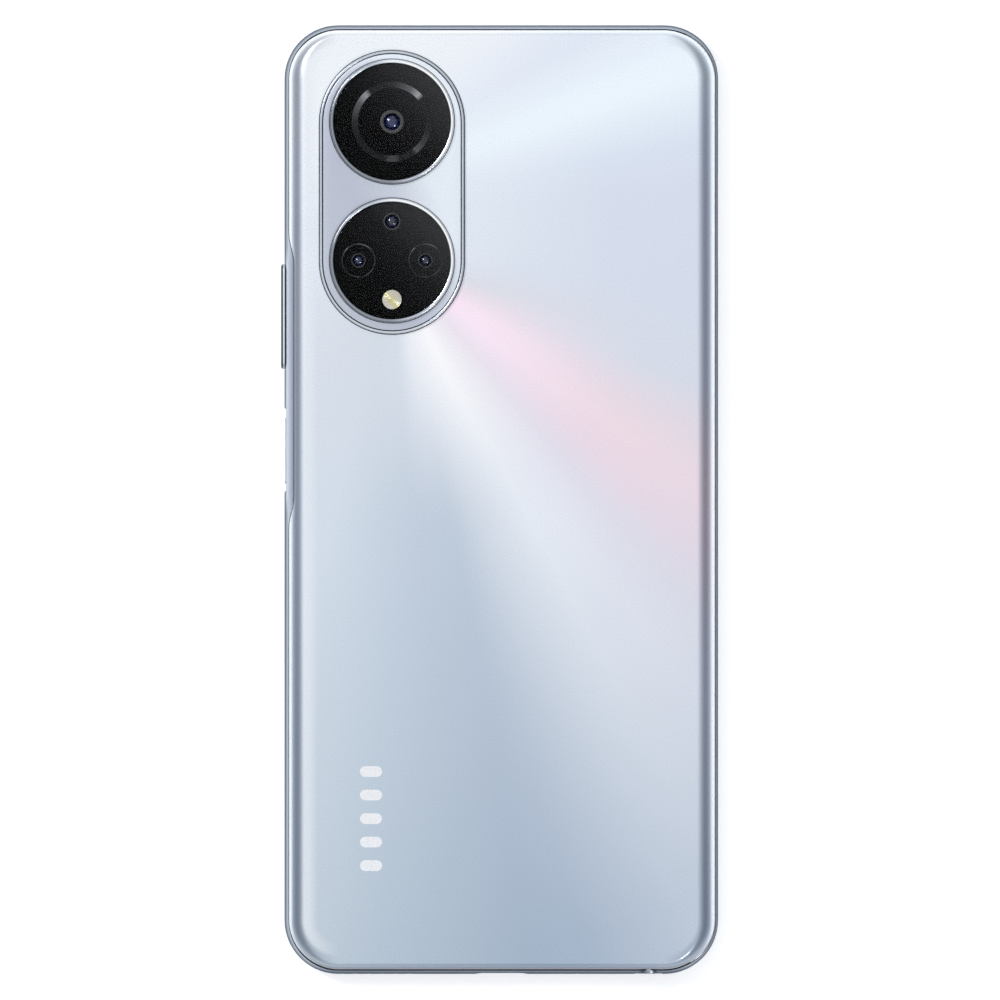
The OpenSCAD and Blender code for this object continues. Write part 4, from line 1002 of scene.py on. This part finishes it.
main_lens = bmesh.new()
front_element(main_lens, MAIN_CENTRE, 1.4, 8.3, 9.2, 0.42)
finish_piece("main_front_lens", main_lens, [lens_coating], "focus_barrel")
collars = bmesh.new()
lens_collar(collars, MAIN_CENTRE, 1.47, 2.08)
lens_collar(collars, WIDE_CENTRE, 1.25, 1.5)
for centre in SIDE_CENTRES:
    lens_collar(collars, centre, 1.05, 1.25)
finish_piece("lens_collars", collars, [lens_rim], "phone_body")
small_lenses = bmesh.new()
front_element(small_lenses, WIDE_CENTRE, 1.15, 8.15, 9.3, 0.4)
for centre in SIDE_CENTRES:
    front_element(small_lenses, centre, 0.96, 8.05, 9.3, 0.34)
finish_piece("small_front_lenses", small_lenses, [small_coating], "phone_body")

# The flash lens is moulded acrylic, ridged in rings; the diode's yellow phosphor shows through it, painted
# as a diagonal band of sheen.
flash_acrylic_painted_sheen = graded("flash_lens_acrylic", FLASH_CENTRE, (0.7, 0.7), 1.75, [
    (0.0, "efe6d6"), (0.25, "f4ecd4"), (0.42, "f2df8e"), (0.55, "f6eda8"), (0.7, "efe7cf"), (1.0, "e8dcc8"),
], 0.1, 0.25, 0.0, coat=1.0)
FLASH_R = 1.69
FLASH_FOOT = 8.25
RIDGE_WIDTH = 0.14
RIDGE_DEPTH = 0.045
flash = bmesh.new()
ridges = [(FLASH_R - RIDGE_WIDTH * i, 9.47 - RIDGE_DEPTH * (i % 2)) for i in range(12)]
turned(flash, [(0, FLASH_FOOT), (FLASH_R, FLASH_FOOT)] + ridges + [(0, 9.42)], FLASH_CENTRE,
       closed=False, steps=96)
turned(flash, [(1.72, 7.82), (2.05, 7.82), (2.05, 8.15), (1.72, 8.15)], FLASH_CENTRE, steps=96)
finish_piece("flash_lens", flash, [flash_acrylic_painted_sheen], "phone_body", ["flash_diffuser"])

# ------------------------------------------------------------------ foil mark
# A plain row of five bars in silver foil stands low on the back, where such phones are marked.
foil = grained("silver_hot_stamped_foil", "f6f7f9", "dde0e4", 0.04, 0.25, metallic=0.6, bump=0.1)
MARK_X = -23.0
MARK_Y = -56.3
MARK_WIDTH = 3.9
MARK_LENGTH = 18.5
BAR = 1.9
bars = bmesh.new()
pitch = (MARK_LENGTH - BAR) / 4
for i in range(-2, 3):
    place = (MARK_X, MARK_Y + i * pitch, BACK_Z - 0.01)
    pill_solid(bars, place, MARK_WIDTH, BAR, 0.022, (1, 0, 0), (0, 0, 1), 6)
finish_piece("foil_bars", bars, [foil], "phone_body")

# ------------------------------------------------------------------ keys
# Both keys are lacquered aluminium bars in slots in the left wall. The volume key stands proud;
# the power key lies in the finger scoop with a glass-faced fingerprint sensor let into it.
KEY_HEIGHT = 2.4
POWER_HEIGHT = 2.6
KEY_BACK = -HALF_W + WALL_INSET + 0.2     # inner face of both bars
FLANGE_HEIGHT = 3.3
SHADED_END = 0.55               # length at each end of the power key painted black, as painted shade
SENSOR_SEAT = 0.5             # width of the key's lacquered surround
key_lacquer = lacquered("lacquered_aluminium_keys", "dde3ec", "bec6d1", 0.1, 0.28, 0.6)


def key_bar(bm, y, length, height, outer_x, inner_x, edge):
    """A bar with round ends through the wall; returns the faces of its rounded outer edge."""
    verts = pill_solid(bm, (inner_x, y, PORT_Z), length, height, inner_x - outer_x, (0, 1, 0), (-1, 0, 0),
                       12)
    top = [v for v in verts if v.co.x < outer_x + 0.001]
    edges = [e for e in edges_at(top) if all(v in top for v in e.verts)]
    made = bmesh.ops.bevel(bm, geom=edges, offset=edge, affect="EDGES", segments=4, profile=0.5,
                           material=-1)
    return made["faces"]


def eased_block(bm, size, centre, ease):
    """A block with its edges eased."""
    verts = bmesh.ops.create_cube(bm, size=1)["verts"]
    bmesh.ops.scale(bm, vec=size, verts=verts)
    bmesh.ops.translate(bm, vec=centre, verts=verts)
    bmesh.ops.bevel(bm, geom=edges_at(verts), offset=ease, affect="EDGES", segments=2, profile=0.5,
                    material=-1)


def inner_side(bm, y, half, plungers):
    """The flange that keeps a key from falling out, and the plungers that reach its switches."""
    eased_block(bm, (0.3, 2 * half, FLANGE_HEIGHT), (KEY_BACK + 0.05, y, PORT_Z), 0.08)
    for step in plungers:
        drill(bm, (KEY_BACK + 0.1, y + step, PORT_Z), 0.7, 0.45, (1, 0, 0))


# the rounded edge of each key is painted dark grey, as painted shade
key_edge = grained("painted_shade_on_key_rounding", "4a5058", "343a41", 0.05, 0.4, metallic=0.5, bump=0.1)
volume = bmesh.new()
for face in key_bar(volume, volume_y, VOLUME_LENGTH, KEY_HEIGHT, volume_low.x, KEY_BACK, 0.34):
    face.material_index = 1
inner_side(volume, volume_y, 3, (-6.3, 6.3))
finish_piece("volume_bar", volume, [key_lacquer, key_edge], "volume_key", ["volume_key"])

# black rubber seal round the volume key, which also stands in for the shade in its slot; the same black is
# painted on the power key's ends as painted shade
seal_rubber_and_shade = grained("black_rubber_seal_and_painted_shade", "2a2c30", "181a1c", 0.1, 0.8, bump=0.2)
seal = bmesh.new()
pill_solid(seal, (-HALF_W + 0.6, volume_y, PORT_Z), VOLUME_LENGTH + 0.6, 3.1, 0.56, (0, 1, 0), (-1, 0, 0),
           12)
core = bmesh.new()
pill_solid(core, (-HALF_W + 1.6, volume_y, PORT_Z), VOLUME_LENGTH + 0.02, KEY_HEIGHT + 0.02, 3, (0, 1, 0),
           (-1, 0, 0), 12)
seal = carved(seal, core)
finish_piece("volume_key_seal", seal, [seal_rubber_and_shade], "volume_key")

key_surround = lacquered("clear_lacquered_key_surround", "e9edf2", "ccd2db", 0.1, 0.28, 0.5)
power = bmesh.new()
power_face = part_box("power_key")[0].x / METRE
key_bar(power, power_y, POWER_LENGTH, POWER_HEIGHT, power_face, KEY_BACK, 0.12)
# painted shade: the power key's ends take the black of the seal
for face in power.faces:
    if abs(face.calc_center_median().y - power_y) > POWER_LENGTH / 2 - SHADED_END:
        face.material_index = 1
inner_side(power, power_y, 6.6, (0,))
seat = bmesh.new()
pill_solid(seat, (-HALF_W + 0.3, power_y, PORT_Z), POWER_LENGTH - 2 * SENSOR_SEAT,
           POWER_HEIGHT - 2 * SENSOR_SEAT, 1, (0, 1, 0), (-1, 0, 0))
power = carved(power, seat)
finish_piece("power_bar", power, [key_surround, seal_rubber_and_shade], "power_key", ["power_key"])

sensor_glass = grained("fingerprint_sensor_glass", "f0f4fa", "d4dbe6", 0.15, 0.12, metallic=0.2, coat=1.0,
                       bump=0.03)
SENSOR_LENGTH = POWER_LENGTH - 1.04
SENSOR_HEIGHT = POWER_HEIGHT - 1.04
sensor = bmesh.new()
key_bar(sensor, power_y, SENSOR_LENGTH, SENSOR_HEIGHT, power_low.x, -HALF_W + 0.29, 0.06)
finish_piece("sensor_face", sensor, [sensor_glass], "power_key", ["fingerprint_sensor"])

# ------------------------------------------------------------------ display
# The front is one sheet of hard glass with a ground edge. Behind it are a black printed border,
# the panel with the notch for the front camera, and the earpiece mesh in a slit at the top.
GLASS_INSET = 1.5
GLASS_THICKNESS = 0.74
GROUND_EDGE = 0.35            # how far the glass's face stops inside its edge
CAMERA_Y = 77.2
BORDER_INSET = 1.7
SIDE_BORDER = 3.4
CHIN = 5.6
BROW = 4.0

sheet = bmesh.new()
rings = [fixed(GLASS_INSET + 1.2, 0.0)]
rings += [fixed(GLASS_INSET + GROUND_EDGE * (1 - math.sin(a)), 0.3 * (1 - math.cos(a)))
          for a in (math.pi / 2 * i / 6 for i in range(7))]
rings += [fixed(GLASS_INSET, GLASS_THICKNESS - 0.05), fixed(GLASS_INSET + 0.05, GLASS_THICKNESS)]
front, back = stacked(sheet, rings)
bmesh.ops.edgeloop_fill(sheet, edges=front)
bmesh.ops.edgeloop_fill(sheet, edges=back)

# aluminosilicate glass, faintly grey, with finger smears that dull its mirror image
front_glass = clear_glass("hardened_display_glass", "e4e6e8", 0.045, 4.0, 0.15, (0.01, 0.06), 1.45)
finish_piece("display_sheet", sheet, [front_glass], "phone_body", ["display_glass"])

black_print = grained("black_ceramic_print", "0c0d0f", "050506", 0.3, 0.6, bump=0.05)
border = bmesh.new()
outer = outline(border, HALF_W - BORDER_INSET, HALF_H - BORDER_INSET, CORNER - BORDER_INSET)
inner = outline(border, HALF_W - SIDE_BORDER, HALF_H - (CHIN + BROW) / 2, CORNER - SIDE_BORDER)
inner_verts = list({v for e in inner for v in e.verts})
bmesh.ops.translate(border, vec=(0, (CHIN - BROW) / 2, 0), verts=inner_verts)
bmesh.ops.bridge_loops(border, edges=outer + inner)
thicken(border, 0.03)
bmesh.ops.translate(border, vec=(0, 0, GLASS_THICKNESS + 0.01), verts=border.verts)
finish_piece("display_border_print", border, [black_print], "phone_body",
             ["display_adhesive"])
surround = bmesh.new()
pierced(surround, (0, CAMERA_Y), 3.1, [(0, 0, 1.25)], GLASS_THICKNESS + 0.04, 0.03, 64)
finish_piece("front_camera_surround", surround, [black_print], "phone_body")
selfie = bmesh.new()
front_element(selfie, (0, 0), 1.1, -0.5, 0, 0.25)
half_turn = Matrix.Rotation(math.pi, 3, "X")
bmesh.ops.rotate(selfie, cent=(0, 0, 0), matrix=half_turn, verts=selfie.verts)
bmesh.ops.translate(selfie, vec=(0, CAMERA_Y, GLASS_THICKNESS + 0.18), verts=selfie.verts)
finish_piece("front_camera_lens", selfie, [small_coating], "phone_body")

# ------------------------------------------------------------------ sockets
# A lacquered collar lines the mouth of the headphone socket. Gold-plated contacts stand on both
# sides of the USB-C tongue, twelve on each.
collar = bmesh.new()
turned(collar, [
    (1.79, -0.9), (2.48, -0.9), (2.48, 0.6), (2.43, 0.7), (1.9, 0.72), (1.79, 0.64),
], (0, 0), steps=64)
quarter_turn = Matrix.Rotation(math.pi / 2, 3, "X")
bmesh.ops.rotate(collar, cent=(0, 0, 0), matrix=quarter_turn, verts=collar.verts)
bmesh.ops.translate(collar, vec=(jack_x, -HALF_H + 0.8, PORT_Z), verts=collar.verts)
finish_piece("headphone_collar", collar, [frame_lacquer], "phone_body")
gold = grained("gold_plated_contact", "e6c068", "b98f3a", 0.1, 0.3, metallic=1.0, bump=0.05)
contact_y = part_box("usb_c_tongue")[0].y / METRE + 2.0
CONTACT_PITCH = 0.5
CONTACT_LIFT = 0.37           # height of each row above or below the tongue's middle
contacts = bmesh.new()
for i in range(12):
    for z in (PORT_Z - CONTACT_LIFT, PORT_Z + CONTACT_LIFT):
        eased_block(contacts, (0.26, 3.2, 0.05), (CONTACT_PITCH * (i - 5.5), contact_y, z), 0.015)
finish_piece("usb_contacts", contacts, [gold], "phone_body")

# ------------------------------------------------------------------ inside
# Everything behind the covers keeps its CAD shape and gets the finish that such parts have:
# green laminate boards, stamped steel cans, polyimide circuits, wrapped cell, black mouldings.
board, tree = blank_finish("green_laminate_circuit_board")
place = add(tree, "TexCoord", out=3)
traces = add(tree, "TexBrick", {
    "Vector": place, "Color1": linear("1f4d3a"), "Color2": linear("265c44"), "Mortar": linear("8a7a3c"),
    "Scale": 0.6 / METRE, "Mortar Size": 0.04, "Brick Width": 0.7, "Row Height": 0.3,
})
dots = add(tree, "TexVoronoi", {"Vector": place, "Scale": 0.9 / METRE})
solder = add(tree, "MapRange", {0: dots, 1: 0.16, 2: 0.2, 3: 1.0, 4: 0.0})
tone = add(tree, "Mix", {0: solder, 6: traces, 7: linear("c9ccd0")}, out=2, data_type="RGBA")
shader = add(tree, "BsdfPrincipled", {"Base Color": tone, "Metallic": solder, "Roughness": 0.35})
add(tree, "OutputMaterial", {0: shader})

# woven steel wire; its wires are drawn coarser than the real ones, so that the weave shows
mesh_cloth, tree = blank_finish("woven_steel_dust_mesh")
place = add(tree, "TexCoord", out=3)
warp = add(tree, "TexWave", {"Vector": place, "Scale": 1 / METRE}, bands_direction="X")
weft = add(tree, "TexWave", {"Vector": place, "Scale": 1 / METRE}, bands_direction="Z")
weave = add(tree, "Math", {0: warp, 1: weft}, operation="MULTIPLY")
tone = add(tree, "ValToRGB", {0: weave}, stops=[(0.1, "08090a"), (0.6, "55595e")])
relief = add(tree, "Bump", {"Strength": 0.5, "Distance": 0.05 * METRE, "Height": weave})
shader = add(tree, "BsdfPrincipled", {
    "Base Color": tone, "Roughness": 0.5, "Metallic": 0.6, "Normal": relief,
})
add(tree, "OutputMaterial", {0: shader})

black_moulding = grained("black_moulded_polymer", "2f3237", "1c1e21", 0.25, 0.55, bump=0.25)
lens_housing = grained("matt_black_camera_housing", "25272a", "141517", 0.12, 0.7, bump=0.3)
steel = grained("brushed_stainless_steel", "b4b9bf", "8c9197", 0.2, 0.32, metallic=1.0,
                stretch=(0.08, 1, 1))
port_steel = grained("drawn_port_steel", "c9cdd2", "9ea3a9", 0.15, 0.25, metallic=1.0, stretch=(1, 0.1, 1))
chassis = grained("cast_magnesium_chassis", "a3a9b0", "7f858c", 0.4, 0.5, metallic=0.8, bump=0.4)
panel = grained("display_panel_stack", "14171d", "0d0f13", 0.5, 0.35, coat=0.5, bump=0.02)
polyimide = grained("polyimide_flexible_circuit", "b97a33", "8a5420", 0.6, 0.35, coat=0.3,
                    stretch=(1, 0.1, 1))
wrap = grained("printed_battery_wrap", "33363b", "24272b", 0.8, 0.45, coat=0.4, bump=0.15)
pull_tape = grained("white_stretch_release_tape", "ebebe6", "d2d2cc", 0.5, 0.6, bump=0.2)
jacket = grained("white_coax_jacket", "e6e6e2", "cfcfca", 0.2, 0.45, stretch=(1, 0.1, 1))
graphite = grained("graphite_heat_spreader", "4a4e55", "34383d", 0.6, 0.4, metallic=0.5, bump=0.3)
screw_steel = grained("blackened_screw_steel", "7a7f86", "54585e", 0.08, 0.35, metallic=1.0)
cone_film = grained("speaker_cone_film", "6a6d72", "4b4e53", 0.2, 0.6, bump=0.3)
ivory = grained("ivory_connector_nylon", "dcd6c4", "bfb8a4", 0.2, 0.5)
tungsten = grained("sintered_tungsten_rotor", "858a90", "63686e", 0.1, 0.4, metallic=1.0, bump=0.3)
phosphor = grained("yellow_flash_phosphor", "f0e070", "d8be3a", 0.1, 0.6, bump=0.3)

finishes = {
    board: ["main_board", "sub_board"],
    mesh_cloth: ["earpiece_mesh", "speaker_mesh"],
    black_moulding: ["loudspeaker_box", "upper_bracket", "headphone_jack", "earpiece_receiver",
                     "usb_c_tongue"],
    lens_housing: ["main_camera_housing", "main_camera_barrel", "wide_camera", "depth_camera",
                   "macro_camera", "front_camera"],
    steel: ["camera_bracket", "board_shields", "sim_reader", "eject_rod", "eject_lever",
            "vibration_motor_case", "key_domes"],
    port_steel: ["usb_c_shell"],
    gold: ["jack_contacts", "microphones"],
    chassis: ["mid_plate"],
    panel: ["lcd_panel"],
    polyimide: ["display_flex", "main_flex", "side_key_flex", "battery_board"],
    wrap: ["battery_cell"],
    pull_tape: ["battery_adhesive"],
    jacket: ["coax_cable"],
    graphite: ["graphite_sheet"],
    screw_steel: ["board_screws"],
    cone_film: ["loudspeaker_diaphragm", "earpiece_diaphragm"],
    ivory: ["board_connectors"],
    tungsten: ["vibration_motor_rotor"],
    phosphor: ["flash_led"],
    frame_lacquer: ["sim_tray"],
}
for finish, nodes in finishes.items():
    for node in nodes:
        for material_slot in bpy.data.objects[node].material_slots:
            material_slot.material = finish
